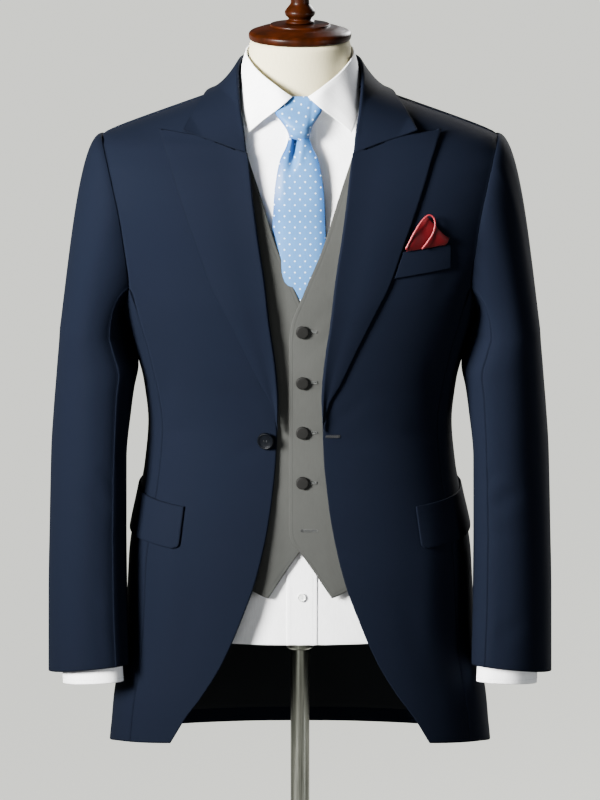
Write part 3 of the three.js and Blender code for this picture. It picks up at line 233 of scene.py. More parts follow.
class Layer:
    """A body's outside as horizontal sections. Angle 0 is the middle of the front, 90 the wearer's left."""

    def __init__(self, sections):
        self.side, self.front, self.back, self.power = (
            curve(sections, "z", name) for name in ("side", "front", "back", "power"))

    def point(self, angle, z):
        angle, z = np.broadcast_arrays(np.radians(np.asarray(angle, float)), np.asarray(z, float))
        sine, cosine, power = np.sin(angle), np.cos(angle), self.power(z)
        depth = np.where(cosine > 0, self.front(z), self.back(z))
        along = np.abs(sine / self.side(z)) ** power + np.abs(cosine / depth) ** power
        radius = along ** (-1 / power)
        return np.stack([radius * sine, -radius * cosine, z], -1)

    def normal(self, angle, z):
        angle, z = np.asarray(angle, float), np.asarray(z, float)
        across = self.point(angle + 0.5, z) - self.point(angle - 0.5, z)
        up = self.point(angle, z + 1.5) - self.point(angle, z - 1.5)
        return unit(np.cross(across, up))

    def at(self, angle, z, lift=0.0):
        normal = self.normal(angle, z)
        return self.point(angle, z) + normal * np.asarray(lift, float)[..., None], normal

    def front_angle(self, x, z):
        power = self.power(z)
        share = np.minimum(np.abs(x) / self.side(z), 0.9999)
        return np.degrees(np.arctan2(x, self.front(z) * (1 - share ** power) ** (1 / power)))

    def back_angle(self, x, z):
        power = self.power(z)
        share = np.minimum(np.abs(x) / self.side(z), 0.9999)
        return 180 - np.degrees(np.arctan2(x, self.back(z) * (1 - share ** power) ** (1 / power)))

    def at_front(self, x, z, lift=0.0):
        x, z = np.broadcast_arrays(np.asarray(x, float), np.asarray(z, float))
        return self.at(self.front_angle(x, z), z, lift)

    def inset(self, ease, levels):
        """The sections of a smaller layer inside this one."""
        z = np.array(levels, float)
        down = curve(ease, "z", "down")(z)
        rows = {name: getattr(self, name)(z + down) - curve(ease, "z", name)(z)
                for name in ("side", "front", "back")}
        return {"z": z, **rows, "power": self.power(z + down)}


coat = Layer(COAT_SECTIONS)
waistcoat = Layer(coat.inset(WAISTCOAT_EASE, LEVELS))
shirt = Layer(waistcoat.inset(SHIRT_EASE, LEVELS))
over_coat = Layer(coat.inset(COLLAR_EASE, LEVELS))
form_rows = shirt.inset(FORM_EASE, FORM_LEVELS)
form = Layer({name: np.concatenate([form_rows[name], FORM_NECK[name]]) for name in FORM_NECK})

coat_edge = curve(FRONT_EDGE, "z", "x")
coat_hem = curve(HEM, "angle", "z")
armhole_x = curve(ARMHOLE, "z", "x")
HEM_ROW, HEM_FREE_Z = 680, 815


def coat_z(level, angle):
    """A coat row's height at an angle: near the hem the rows follow it."""
    free = (HEM_FREE_Z - level) / (HEM_FREE_Z - HEM_ROW)
    return np.where(level >= HEM_FREE_Z, level, level + (coat_hem(angle) - HEM_ROW) * free)


# Creases
def creased(points, normals, creases):
    """Moves cloth in or out along creases: (start, end, bow, width, depth), deepest at the middle."""
    moved = points.copy()
    for start, end, bow, width, depth in creases:
        start, end = np.array(start, float), np.array(end, float)
        t = np.linspace(0, 1, 25)
        line = start + (end - start) * t[:, None] + np.array(bow, float) * (4 * t * (1 - t))[:, None]
        gap = np.linalg.norm(points[..., None, :] - line, axis=-1)
        nearest = gap.argmin(-1)
        strength = np.sin(np.pi * (0.04 + 0.92 * t[nearest])) ** 0.8
        push = depth * strength * np.exp(-(gap.min(-1) / width) ** 2)
        moved += normals * push[..., None]
    return moved


def grid_normals(points, wrap, away):
    """Normals of a free grid of points, pointing away from a centre line."""
    if wrap:
        across = np.roll(points, -1, 1) - np.roll(points, 1, 1)
    else:
        across = np.gradient(points, axis=1)
    normal = unit(np.cross(across, np.gradient(points, axis=0)))
    facing = np.sum(normal * (points - away(points)), -1, keepdims=True)
    return np.where(facing < 0, -normal, normal)


# Cloth walls
def cloth_mesh(name, outer, normal, thick, wrap=False, rim=3):
    """A closed cloth wall with rounded edges, from its outside, with a UV map in metres."""
    rows, columns = outer.shape[:2]
    thick = np.broadcast_to(np.asarray(thick, float), (rows, columns))
    out_dir = np.zeros_like(outer)
    out_dir[0] += unit(outer[0] - outer[1])
    out_dir[-1] += unit(outer[-1] - outer[-2])
    if not wrap:
        out_dir[:, 0] += unit(outer[:, 0] - outer[:, 1])
        out_dir[:, -1] += unit(outer[:, -1] - outer[:, -2])
    edge = np.linalg.norm(out_dir, axis=-1) > 0
    out_dir = unit(out_dir)
    radius = thick[..., None] / 2
    face = outer - np.where(edge[..., None], out_dir * radius, 0)
    inner = face - normal * thick[..., None]
    if wrap:
        loops = [[(0, j) for j in range(columns)], [(rows - 1, j) for j in range(columns)]]
    else:
        loops = [[(0, j) for j in range(columns)] + [(i, columns - 1) for i in range(1, rows)]
                 + [(rows - 1, j) for j in range(columns - 2, -1, -1)]
                 + [(i, 0) for i in range(rows - 2, 0, -1)]]
    points = [face.reshape(-1, 3), inner.reshape(-1, 3)]
    count = rows * columns
    faces = []
    spans = columns if wrap else columns - 1
    grid = np.arange(count).reshape(rows, columns)
    a, b = grid[:-1, :spans], np.roll(grid, -1, 1)[:-1, :spans]
    d, c = grid[1:, :spans], np.roll(grid, -1, 1)[1:, :spans]
    quads = np.stack([a, b, c, d], -1).reshape(-1, 4)
    faces += quads.tolist() + (quads[:, ::-1] + count).tolist()
    base = 2 * count
    origin = [np.arange(count), np.arange(count)]
    for which, loop in enumerate(loops):
        i, j = np.array(loop).T
        middle = (face[i, j] + inner[i, j]) / 2
        rings = [grid[i, j]]
        for k in range(1, rim + 1):
            turn = math.pi * k / (rim + 1)
            ring = middle + radius[i, j] * (math.cos(turn) * normal[i, j] + math.sin(turn) * out_dir[i, j])
            points.append(ring)
            origin.append(grid[i, j])
            rings.append(np.arange(len(loop)) + base)
            base += len(loop)
        rings.append(grid[i, j] + count)
        for low, high in zip(rings[:-1], rings[1:]):
            strip = np.stack([np.roll(low, -1), low, high, np.roll(high, -1)], -1)
            faces += (strip[:, ::-1] if wrap and which else strip).tolist()
    mesh = solid_mesh(name, np.concatenate(points), faces)
    add_cloth_uv(mesh, outer, np.concatenate(origin), wrap)
    return mesh


def solid_mesh(name, points, faces):
    """A smooth closed mesh from points in millimetres, with its faces turned outward."""
    mesh = bpy.data.meshes.new(name)
    mesh.from_pydata((np.asarray(points, float) * MM).tolist(), [], faces)
    mesh.polygons.foreach_set("use_smooth", np.ones(len(mesh.polygons), bool))
    if signed_volume(mesh) < 0:
        mesh.flip_normals()
    return mesh


def signed_volume(mesh):
    """Six times the volume, below zero when the faces are turned inward."""
    mesh.calc_loop_triangles()
    corners = np.empty(len(mesh.loop_triangles) * 3, np.int64)
    mesh.loop_triangles.foreach_get("vertices", corners)
    places = np.empty(len(mesh.vertices) * 3)
    mesh.vertices.foreach_get("co", places)
    a, b, c = places.reshape(-1, 3)[corners.reshape(-1, 3)].transpose(1, 0, 2)
    return float(np.sum(a * np.cross(b, c)))


def add_cloth_uv(mesh, outer, origin, wrap):
    """UV in metres along and across the cloth, and each point's distance in from the cloth's edge."""
    rows, columns = outer.shape[:2]
    closed = np.concatenate([outer, outer[:, :1]], 1) if wrap else outer
    across = np.linalg.norm(np.diff(closed, axis=1), axis=-1)
    along = np.linalg.norm(np.diff(outer, axis=0), axis=-1)
    u = np.concatenate([np.zeros((rows, 1)), np.cumsum(across, 1)], 1)
    u = u - u[:, u.shape[1] // 2, None]
    v = np.concatenate([np.zeros((1, columns)), np.cumsum(along, 0)], 0)
    if wrap:
        v = v.mean(1, keepdims=True).repeat(columns, 1)
    edge = np.minimum(v, v[-1] - v)
    if not wrap:
        edge = np.minimum(edge, np.minimum(u - u[:, :1], u[:, -1:] - u))
    flat_v = v.reshape(-1)[origin]
    column = np.tile(np.arange(columns), rows)[origin]
    row = np.repeat(np.arange(rows), columns)[origin]
    starts = np.empty(len(mesh.loops), np.int32)
    mesh.loops.foreach_get("vertex_index", starts)
    loop_column, loop_row = column[starts], row[starts]
    if wrap:
        sizes = np.empty(len(mesh.polygons), np.int32)
        mesh.polygons.foreach_get("loop_total", sizes)
        face_of = np.repeat(np.arange(len(sizes)), sizes)
        high = np.zeros(len(sizes), bool)
        np.logical_or.at(high, face_of, loop_column == columns - 1)
        loop_column = np.where(high[face_of] & (loop_column == 0), columns, loop_column)
    layer = mesh.uv_layers.new(name="UVMap")
    uv = np.stack([u[loop_row, loop_column], flat_v[starts]], -1) * MM
    layer.data.foreach_set("uv", uv.astype(np.float32).reshape(-1))
    set_inset(mesh, edge.reshape(-1)[origin])


def set_inset(mesh, distances):
    """Stores each point's distance in from the cloth's edge, in millimetres."""
    attribute = mesh.attributes.get("edge") or mesh.attributes.new("edge", "FLOAT", "POINT")
    attribute.data.foreach_set("value", np.asarray(distances, np.float32))


def set_uv(mesh, uv):
    """Gives each point of the mesh its UV in metres."""
    index = np.empty(len(mesh.loops), np.int32)
    mesh.loops.foreach_get("vertex_index", index)
    layer = mesh.uv_layers.get("UVMap") or mesh.uv_layers.new(name="UVMap")
    layer.data.foreach_set("uv", uv[index].astype(np.float32).reshape(-1))


def place_piece(name, mesh, material, nodes):
    """Links a finished mesh as the piece that stands for these nodes."""
    piece = bpy.data.objects.new(name, mesh)
    bpy.context.scene.collection.objects.link(piece)
    mesh.materials.clear()
    mesh.materials.append(material)
    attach(piece, "root")
    if nodes:
        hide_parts(*nodes)
    return piece


# Rows added at a seam, from the outermost: how far out as a share of the reach, how deep, and the wall
TUCKED_ROWS = ((1, 2.9, 0.8), (0.16, 2.8, 0.8), (0.02, 2.5, 0.9), (0.01, 1.4, 1.5), (0, 0.5, 2.0))
BUTTED_ROWS = ((0.08, 0, 0.8),)


def seamed(points, normals, thick, sides, rows, reach=5.0):
    """Adds rows at the seams on the given sides: tucked under the neighbour, or butted with a crisp edge."""
    thick = np.array(np.broadcast_to(thick, points.shape[:2]), float)
    turns = {
        "left": (lambda a: a.swapaxes(0, 1), lambda a: a.swapaxes(0, 1)),
        "right": (lambda a: a.swapaxes(0, 1)[::-1], lambda a: a[::-1].swapaxes(0, 1)),
        "bottom": (lambda a: a, lambda a: a),
        "top": (lambda a: a[::-1], lambda a: a[::-1]),
    }
    for side in sides:
        there, back = turns[side]
        p, n, t = there(points), there(normals), there(thick)
        out = unit(p[0] - p[1]) * np.broadcast_to(np.asarray(reach, float), p.shape[1])[:, None]
        added = np.stack([p[0] + out * share - n[0] * depth for share, depth, _ in rows])
        walls = np.stack([np.full(p.shape[1], wall) for _, _, wall in rows])
        p = np.concatenate([added, p])
        n = np.concatenate([np.repeat(n[:1], len(rows), 0), n])
        t = np.concatenate([walls, t])
        points, normals, thick = back(p), back(n), back(t)
    return points, normals, thick


def cloth(node, outer, normal, thick, material, wrap=False, rim=3):
    mesh = cloth_mesh(node, outer, normal, thick, wrap, rim)
    piece = place_piece(node + "_cloth", mesh, material, [node])
    return piece


# Shader groups
def new_group(name, inputs, outputs):
    """An empty shader group with these sockets: (name, type, value) and (name, type)."""
    group = bpy.data.node_groups.new(name, "ShaderNodeTree")
    for label, kind, value in inputs:
        socket = group.interface.new_socket(label, in_out="INPUT", socket_type="NodeSocket" + kind)
        if value is not None:
            socket.default_value = value
    for label, kind in outputs:
        group.interface.new_socket(label, in_out="OUTPUT", socket_type="NodeSocket" + kind)
    return group, group.nodes.new("NodeGroupInput"), group.nodes.new("NodeGroupOutput")


class Graph:
    """Short calls for adding nodes to a tree and linking them."""

    def __init__(self, tree):
        self.tree = tree

    def node(self, kind, **settings):
        node = self.tree.nodes.new(kind)
        for key, value in settings.items():
            setattr(node, key, value)
        return node

    def link(self, source, target):
        self.tree.links.new(source, target)

    def feed(self, socket, value):
        if hasattr(value, "links"):
            self.link(value, socket)
        else:
            socket.default_value = value

    def math(self, operation, a, b=0.0, c=0.0, clamp=False):
        node = self.node("ShaderNodeMath", operation=operation, use_clamp=clamp)
        for socket, value in zip(node.inputs, (a, b, c)):
            self.feed(socket, value)
        return node.outputs[0]

    def between(self, value, low, high, to_low=0.0, to_high=1.0):
        node = self.node("ShaderNodeMapRange", interpolation_type="SMOOTHSTEP")
        for socket, part in zip(node.inputs, (value, low, high, to_low, to_high)):
            self.feed(socket, part)
        return node.outputs[0]

    def mix(self, factor, a, b):
        node = self.node("ShaderNodeMix", data_type="RGBA")
        self.feed(node.inputs[0], factor)
        self.feed(node.inputs[6], a)
        self.feed(node.inputs[7], b)
        return node.outputs[2]

    def noise(self, vector, scale, detail=2.0, rough=0.5):
        node = self.node("ShaderNodeTexNoise")
        self.link(vector, node.inputs["Vector"])
        for key, value in (("Scale", scale), ("Detail", detail), ("Roughness", rough)):
            self.feed(node.inputs[key], value)
        return node.outputs[0]

    def scaled(self, vector, factors):
        node = self.node("ShaderNodeVectorMath", operation="MULTIPLY")
        self.link(vector, node.inputs[0])
        self.feed(node.inputs[1], factors)
        return node.outputs[0]


def weave_group():
    """Height and shade of a woven cloth from its UV in metres: fine threads with a diagonal rib."""
    group, source, result = new_group(
        "Weave", [("UV", "Vector", None), ("Threads", "Float", 1800.0), ("Rib", "Float", 0.5)],
        [("Height", "Float"), ("Shade", "Float")])
    graph = Graph(group)
    parts = graph.node("ShaderNodeSeparateXYZ")
    graph.link(source.outputs["UV"], parts.inputs[0])
    u = graph.math("MULTIPLY", parts.outputs[0], source.outputs["Threads"])
    v = graph.math("MULTIPLY", parts.outputs[1], source.outputs["Threads"])
    warp = graph.math("SINE", graph.math("MULTIPLY", u, 2 * math.pi))
    weft = graph.math("SINE", graph.math("MULTIPLY", v, 2 * math.pi))
    diagonal = graph.math("SINE", graph.math("MULTIPLY", graph.math("ADD", u, v), math.pi))
    plain = graph.math("MULTIPLY", warp, weft)
    slope = graph.math("MULTIPLY", graph.math("SUBTRACT", diagonal, plain), source.outputs["Rib"])
    height = graph.math("ADD", plain, slope)
    fuzz = graph.noise(source.outputs["UV"], 2600.0, 1.0)
    graph.link(graph.math("MULTIPLY_ADD", height, 0.4, fuzz), result.inputs["Height"])
    slub = graph.noise(graph.scaled(source.outputs["UV"], (520.0, 90.0, 1.0)), 1.0, 3.0)
    shade = graph.math("MULTIPLY_ADD", height, 0.05, graph.math("MULTIPLY_ADD", slub, 0.24, 0.88))
    graph.link(shade, result.inputs["Shade"])
    return group


def mottle_group():
    """Slow light and dark drift over a surface, in object space."""
    group, source, result = new_group(
        "Mottle", [("Scale", "Float", 9.0), ("Amount", "Float", 0.12)],
        [("Shade", "Float"), ("Drift", "Float")])
    graph = Graph(group)
    place = graph.node("ShaderNodeTexCoord").outputs["Object"]
    broad = graph.noise(place, source.outputs["Scale"], 3.0)
    offset = graph.math("SUBTRACT", broad, 0.5)
    graph.link(graph.math("MULTIPLY_ADD", offset, source.outputs["Amount"], 1.0), result.inputs["Shade"])
    graph.link(broad, result.inputs["Drift"])
    return group


def edge_group():
    """A pressed cloth edge: a raised rim, then a stitched or pressed hollow behind it. Its Shade output is
    painted shade, darker at the very edge and along the hollow.
    """
    group, source, result = new_group(
        "Pressed edge", [("Inset", "Float", 5.0)], [("Height", "Float"), ("Shade", "Float")])
    graph = Graph(group)
    attribute = graph.node("ShaderNodeAttribute", attribute_name="edge")
    away = attribute.outputs["Fac"]
    hollow = graph.math("SUBTRACT", away, source.outputs["Inset"])
    dip = graph.math("POWER", 2.718, graph.math("MULTIPLY", graph.math("MULTIPLY", hollow, hollow), -1.4))
    graph.link(graph.math("MULTIPLY", dip, -1.0), result.inputs["Height"])
    # Painted shade: the colour darkens toward the very edge and, a little, along the hollow
    painted_edge_shade = graph.between(away, 0.2, 2.2, 0.8, 1.0)
    graph.link(graph.math("MULTIPLY_ADD", dip, -0.1, painted_edge_shade), result.inputs["Shade"])
    return group


def dots_group():
    """Small round dots in staggered rows: how much of a dot covers a point of the UV in metres."""
    group, source, result = new_group(
        "Pin dots", [("UV", "Vector", None), ("Across", "Float", 0.01165), ("Down", "Float", 0.0128),
                     ("Radius", "Float", 0.001)],
        [("Cover", "Float")])
    graph = Graph(group)
    parts = graph.node("ShaderNodeSeparateXYZ")
    graph.link(source.outputs["UV"], parts.inputs[0])
    covers = []
    for shift in (0.0, 0.5):
        sides = []
        for axis, step in ((0, "Across"), (1, "Down")):
            pitch = source.outputs[step]
            count = graph.math("ADD", graph.math("DIVIDE", parts.outputs[axis], pitch), shift)
            near = graph.math("SUBTRACT", graph.math("FRACT", graph.math("ADD", count, 0.5)), 0.5)
            away = graph.math("MULTIPLY", near, pitch)
            sides.append(graph.math("MULTIPLY", away, away))
        distance = graph.math("SQRT", graph.math("ADD", *sides))
        radius = source.outputs["Radius"]
        inner = graph.math("MULTIPLY", radius, 0.75)
        outer = graph.math("MULTIPLY", radius, 1.15)
        covers.append(graph.between(distance, inner, outer, 1.0, 0.0))
    graph.link(graph.math("MAXIMUM", *covers), result.inputs["Cover"])
    return group


# Materials
def rgb(code):
    """A screen colour code as linear light."""
    parts = [int(code[i:i + 2], 16) / 255 for i in (0, 2, 4)]
    return tuple(p / 12.92 if p <= 0.04045 else ((p + 0.055) / 1.055) ** 2.4 for p in parts) + (1.0,)


GROUP_MAKERS = {"weave": weave_group, "mottle": mottle_group, "edge": edge_group, "dots": dots_group}


PALETTE = {
    "navy": "0a0e18", "lining": "0c0f13", "grey": "373836", "white": "f8f9fa", "silk": "3f6c9c",
    # The silk's darker edge colour is painted shade for its rolled edges
    "silk_painted_edge_shade": "1c4a84", "dot": "b9c8dc", "red": "3c0307", "pink": "8e1f2a", "pink_dark": "6c121b",
    "jersey": "c3bb9a", "covered": "131312", "covered_dark": "0c0c0b",
}


class Looks:
    """The finishes, each made once, with the shared shader groups."""

    def __init__(self):
        self.groups, self.made = {}, {}

    def start(self, name):
        material = bpy.data.materials.new(name)
        material.use_nodes = True
        graph = Graph(material.node_tree)
        shader = material.node_tree.nodes["Principled BSDF"]
        return material, graph, shader

    def use(self, graph, key, **values):
        if key not in self.groups:
            self.groups[key] = GROUP_MAKERS[key]()
        node = graph.node("ShaderNodeGroup", node_tree=self.groups[key])
        for name, value in values.items():
            graph.feed(node.inputs[name], value)
        return node

    def cloth(self, name, colour, threads, rib, bump, rough, sheen, sheen_tint, edge_inset, drift=0.12,
              depth=0.00012, dots=None, edge_shade=True, edge_depth=0.5, gloss=0.2, rim=None):
        """A woven finish: its threads, its slow drift of shade, its pressed or stitched edge with painted
        shade along it, and, where a darker edge colour is given, that colour painted toward the cloth's
        edges as shade.
        """
        if name in self.made:
            return self.made[name]
        material, graph, shader = self.start(name)
        uv = graph.node("ShaderNodeUVMap", uv_map="UVMap").outputs[0]
        weave = self.use(graph, "weave", UV=uv, Threads=threads, Rib=rib)
        mottle = self.use(graph, "mottle", Amount=drift)
        edge = self.use(graph, "edge", Inset=edge_inset)
        shade = graph.math("MULTIPLY", weave.outputs["Shade"], mottle.outputs["Shade"])
        # Painted shade along the pressed edge and its hollow
        if edge_shade:
            shade = graph.math("MULTIPLY", shade, edge.outputs["Shade"])
        base = rgb(colour)
        # Painted shade: toward the cloth's edges the colour turns to the darker edge colour, where the silk
        # rolls away from the light
        if rim:
            away = graph.node("ShaderNodeAttribute", attribute_name="edge").outputs["Fac"]
            base = graph.mix(graph.between(away, -3.0, 12.0), rgb(rim), base)
        if dots:
            cover = self.use(graph, "dots", UV=uv).outputs["Cover"]
            base = graph.mix(cover, base, rgb(dots))
        tint = graph.node("ShaderNodeVectorMath", operation="SCALE")
        graph.feed(tint.inputs[0], base if dots else base[:3])
        graph.link(shade, tint.inputs["Scale"])
        graph.link(tint.outputs[0], shader.inputs["Base Color"])
        graph.link(graph.math("MULTIPLY_ADD", mottle.outputs["Drift"], 0.16, rough - 0.08),
                   shader.inputs["Roughness"])
        height = graph.math("MULTIPLY_ADD", edge.outputs["Height"], edge_depth,
                            graph.math("MULTIPLY", weave.outputs["Height"], bump))
        relief = graph.node("ShaderNodeBump")
        relief.inputs["Strength"].default_value = 0.6
        relief.inputs["Distance"].default_value = depth
        graph.link(height, relief.inputs["Height"])
        graph.link(relief.outputs[0], shader.inputs["Normal"])
        shader.inputs["Sheen Weight"].default_value = sheen
        shader.inputs["Sheen Roughness"].default_value = 0.45
        shader.inputs["Sheen Tint"].default_value = rgb(sheen_tint)
        shader.inputs["Specular IOR Level"].default_value = gloss
        self.made[name] = material
        return material

    def navy(self):
        return self.cloth("Navy worsted", PALETTE["navy"], 1500, 0.8, 0.5, 0.86, 0.003, "9fb4cc", 400,
                          gloss=0.03)

    def navy_plain(self):
        return self.cloth("Navy worsted trim", PALETTE["navy"], 1500, 0.8, 0.5, 0.84, 0.003, "9fb4cc", 400,
                          gloss=0.03)

    def lining(self):
        return self.cloth("Black lining", PALETTE["lining"], 2600, 0.3, 0.2, 0.5, 0.0, "808890", 9,
                          gloss=0.05)

    def grey(self):
        return self.cloth("Grey flannel", PALETTE["grey"], 1300, 0.4, 0.9, 0.88, 0.03, "e0e4e8", 4.5, 0.5,
                          edge_depth=1.6, gloss=0.12)

    def white(self):
        return self.cloth("White poplin", PALETTE["white"], 2400, 0.2, 0.3, 0.72, 0.02, "ffffff", 5, 0.03,
                          edge_shade=False)

    def silk(self):
        # The darker edge colour is painted shade on the tie's rolled edges
        return self.cloth("Dotted silk", PALETTE["silk"], 1900, 0.7, 0.3, 0.42, 0.1, "d8e8ff", 400, 0.06,
                          dots=PALETTE["dot"], edge_shade=False, edge_depth=0.0, rim=PALETTE["silk_painted_edge_shade"])

    def red(self):
        return self.cloth("Red silk", PALETTE["red"], 2200, 0.4, 0.3, 0.45, 0.01, "ffb0b8", 2.2, 0.25,
                          gloss=0.1)

    # Painted highlight: the rolled hem's pink is a lit copy of the red silk, where the roll catches the
    # light
    def hem_painted_highlight(self):
        return self.simple("Rolled hem painted highlight", PALETTE["pink"], PALETTE["pink_dark"], 0.5, 0, 0.1, 300)

    def jersey(self):
        return self.cloth("Cream jersey", PALETTE["jersey"], 1100, 0.2, 0.7, 0.9, 0.03, "fffdf4", 400, 0.05)

    def simple(self, name, colour, dark, rough, metal=0.0, coat=0.0, scale=40.0, stretch=(1, 1, 1),
               spread=0.15, bump=0.00004, gloss=0.5):
        """A solid finish with uneven colour, uneven gloss and a little relief."""
        if name in self.made:
            return self.made[name]
        material, graph, shader = self.start(name)
        place = graph.node("ShaderNodeTexCoord").outputs["Object"]
        grain = graph.noise(graph.scaled(place, stretch), scale, 4.0, 0.6)
        blend = graph.between(grain, 0.3, 0.7)
        graph.link(graph.mix(blend, rgb(dark), rgb(colour)), shader.inputs["Base Color"])
        graph.link(graph.math("MULTIPLY_ADD", grain, spread, rough - spread / 2), shader.inputs["Roughness"])
        relief = graph.node("ShaderNodeBump")
        relief.inputs["Strength"].default_value = 0.4
        relief.inputs["Distance"].default_value = bump
        graph.link(grain, relief.inputs["Height"])
        graph.link(relief.outputs[0], shader.inputs["Normal"])
        shader.inputs["Metallic"].default_value = metal
        shader.inputs["Specular IOR Level"].default_value = gloss
        shader.inputs["Coat Weight"].default_value = coat
        shader.inputs["Coat Roughness"].default_value = 0.12
        self.made[name] = material
        return material

    def wood(self):
        return self.simple("Varnished wood", "2c0e02", "190701", 0.36, 0, 0.02, 60, (1, 1, 0.12), gloss=0.06)

    def steel(self):
        return self.simple("Brushed steel", "8f9088", "5a5b54", 0.3, 1, 0, 300, (1, 1, 0.03), 0.12)

    def dark_steel(self):
        return self.simple("Dark base", "2c2d2b", "1e1f1e", 0.42, 0.6, 0.1, 90)

    def horn(self):
        return self.simple("Dark horn", "05070b", "030407", 0.36, 0, 0, 160, gloss=0.06)

    def covered(self):
        return self.simple("Covered button", PALETTE["covered"], PALETTE["covered_dark"], 0.62, 0, 0, 900,
                           gloss=0.12)

    def pearl(self):
        return self.simple("Pearl", "f4f5f2", "d9dcd9", 0.28, 0, 0.5, 200)

    def thread(self, name, colour):
        return self.simple(name, colour, colour, 0.8, 0, 0, 900)


looks = Looks()


# Instanced trim
def instance_group():
    """Geometry Nodes that put one small shape on each point, turned to the point's normal and tangent."""
    tree = bpy.data.node_groups.new("Trim on points", "GeometryNodeTree")
    face = tree.interface
    face.new_socket("Geometry", in_out="INPUT", socket_type="NodeSocketGeometry")
    face.new_socket("Shape", in_out="INPUT", socket_type="NodeSocketObject")
    face.new_socket("Material", in_out="INPUT", socket_type="NodeSocketMaterial")
    face.new_socket("Size spread", in_out="INPUT", socket_type="NodeSocketFloat").default_value = 0.06
    face.new_socket("Seed", in_out="INPUT", socket_type="NodeSocketInt").default_value = 4
    face.new_socket("Geometry", in_out="OUTPUT", socket_type="NodeSocketGeometry")
    graph = Graph(tree)
    source, result = graph.node("NodeGroupInput"), graph.node("NodeGroupOutput")
    shape = graph.node("GeometryNodeObjectInfo")
    graph.link(source.outputs["Shape"], shape.inputs["Object"])
    turns = []
    for label in ("facing", "along"):
        turns.append(graph.node("GeometryNodeInputNamedAttribute", data_type="FLOAT_VECTOR"))
        turns[-1].inputs["Name"].default_value = label
    first = graph.node("FunctionNodeAlignRotationToVector", axis="Z")
    graph.link(turns[0].outputs[0], first.inputs["Vector"])
    second = graph.node("FunctionNodeAlignRotationToVector", axis="X", pivot_axis="Z")
    graph.link(first.outputs[0], second.inputs["Rotation"])
    graph.link(turns[1].outputs[0], second.inputs["Vector"])
    spread = graph.node("FunctionNodeRandomValue", data_type="FLOAT")
    graph.link(graph.math("SUBTRACT", 1.0, source.outputs["Size spread"]), spread.inputs[2])
    graph.link(graph.math("ADD", 1.0, source.outputs["Size spread"]), spread.inputs[3])
    graph.link(source.outputs["Seed"], spread.inputs["Seed"])
    place = graph.node("GeometryNodeInstanceOnPoints")
    graph.link(source.outputs["Geometry"], place.inputs["Points"])
    graph.link(shape.outputs["Geometry"], place.inputs["Instance"])
    graph.link(second.outputs[0], place.inputs["Rotation"])
    graph.link(spread.outputs[1], place.inputs["Scale"])
    real = graph.node("GeometryNodeRealizeInstances")
    graph.link(place.outputs[0], real.inputs[0])
    paint = graph.node("GeometryNodeSetMaterial")
    graph.link(real.outputs[0], paint.inputs["Geometry"])
    graph.link(source.outputs["Material"], paint.inputs["Material"])
    graph.link(paint.outputs[0], result.inputs[0])
    return tree


def instanced(name, points, facing, along, shape, material, nodes, spread=0.06, seed=4):
    """A plain mesh piece of one small shape repeated on points, made by the trim group."""
    tree = bpy.data.node_groups.get("Trim on points") or instance_group()
    mesh = bpy.data.meshes.new(name)
    mesh.from_pydata((np.asarray(points, float) * MM).tolist(), [], [])
    for label, vectors in (("facing", facing), ("along", along)):
        values = np.broadcast_to(np.asarray(vectors, float), (len(points), 3)).astype(np.float32)
        mesh.attributes.new(label, "FLOAT_VECTOR", "POINT").data.foreach_set("vector", values.reshape(-1))
    holder = bpy.data.objects.new(name + "_points", mesh)
    bpy.context.scene.collection.objects.link(holder)
    modifier = holder.modifiers.new("Trim", "NODES")
    modifier.node_group = tree
    values = {"Shape": shape, "Material": material, "Size spread": spread, "Seed": seed}
    for item in tree.interface.items_tree:
        if item.in_out == "INPUT" and item.name in values:
            modifier[item.identifier] = values[item.name]
    graph = bpy.context.evaluated_depsgraph_get()
    graph.update()
    made = bpy.data.meshes.new_from_object(holder.evaluated_get(graph))
    made.name = name
    bpy.data.objects.remove(holder)
    if not made.vertices:
        raise RuntimeError(name + " came out empty")
    made.polygons.foreach_set("use_smooth", np.ones(len(made.polygons), bool))
    for label in ("facing", "along"):
        if label in made.attributes:
            made.attributes.remove(made.attributes[label])
    return place_piece(name, made, material, nodes)


def lathe_mesh(name, profile, around=32):
    """A turned mesh round Z from (radius, height) pairs, closed on the axis at both ends."""
    profile = [(float(r), float(z)) for r, z in profile]
    points, rings, faces = [], [], []
    for radius, z in profile:
        if radius == 0:
            rings.append([len(points)] * around)
            points.append((0.0, 0.0, z))
        else:
            rings.append(list(range(len(points), len(points) + around)))
            turn = 2 * np.pi * np.arange(around) / around
            ring = np.stack([radius * np.cos(turn), radius * np.sin(turn), np.full(around, z)], -1)
            points += ring.tolist()
    for low, high in zip(rings[:-1], rings[1:]):
        for j in range(around):
            corners = [low[j], low[(j + 1) % around], high[(j + 1) % around], high[j]]
            face = list(dict.fromkeys(corners))
            if len(face) > 2:
                faces.append(face)
    return solid_mesh(name, points, faces)


def shape_object(name, mesh):
    """A stand-in object for instancing, in no collection, so that it is never shown itself."""
    return bpy.data.objects.new(name, mesh)


def join_meshes(name, meshes):
    """One mesh from several that share a material."""
    points, faces, base = [], [], 0
    for mesh in meshes:
        places = np.empty(len(mesh.vertices) * 3)
        mesh.vertices.foreach_get("co", places)
        points.append(places.reshape(-1, 3) / MM)
        faces += [[index + base for index in face.vertices] for face in mesh.polygons]
        base += len(mesh.vertices)
    return solid_mesh(name, np.concatenate(points), faces)


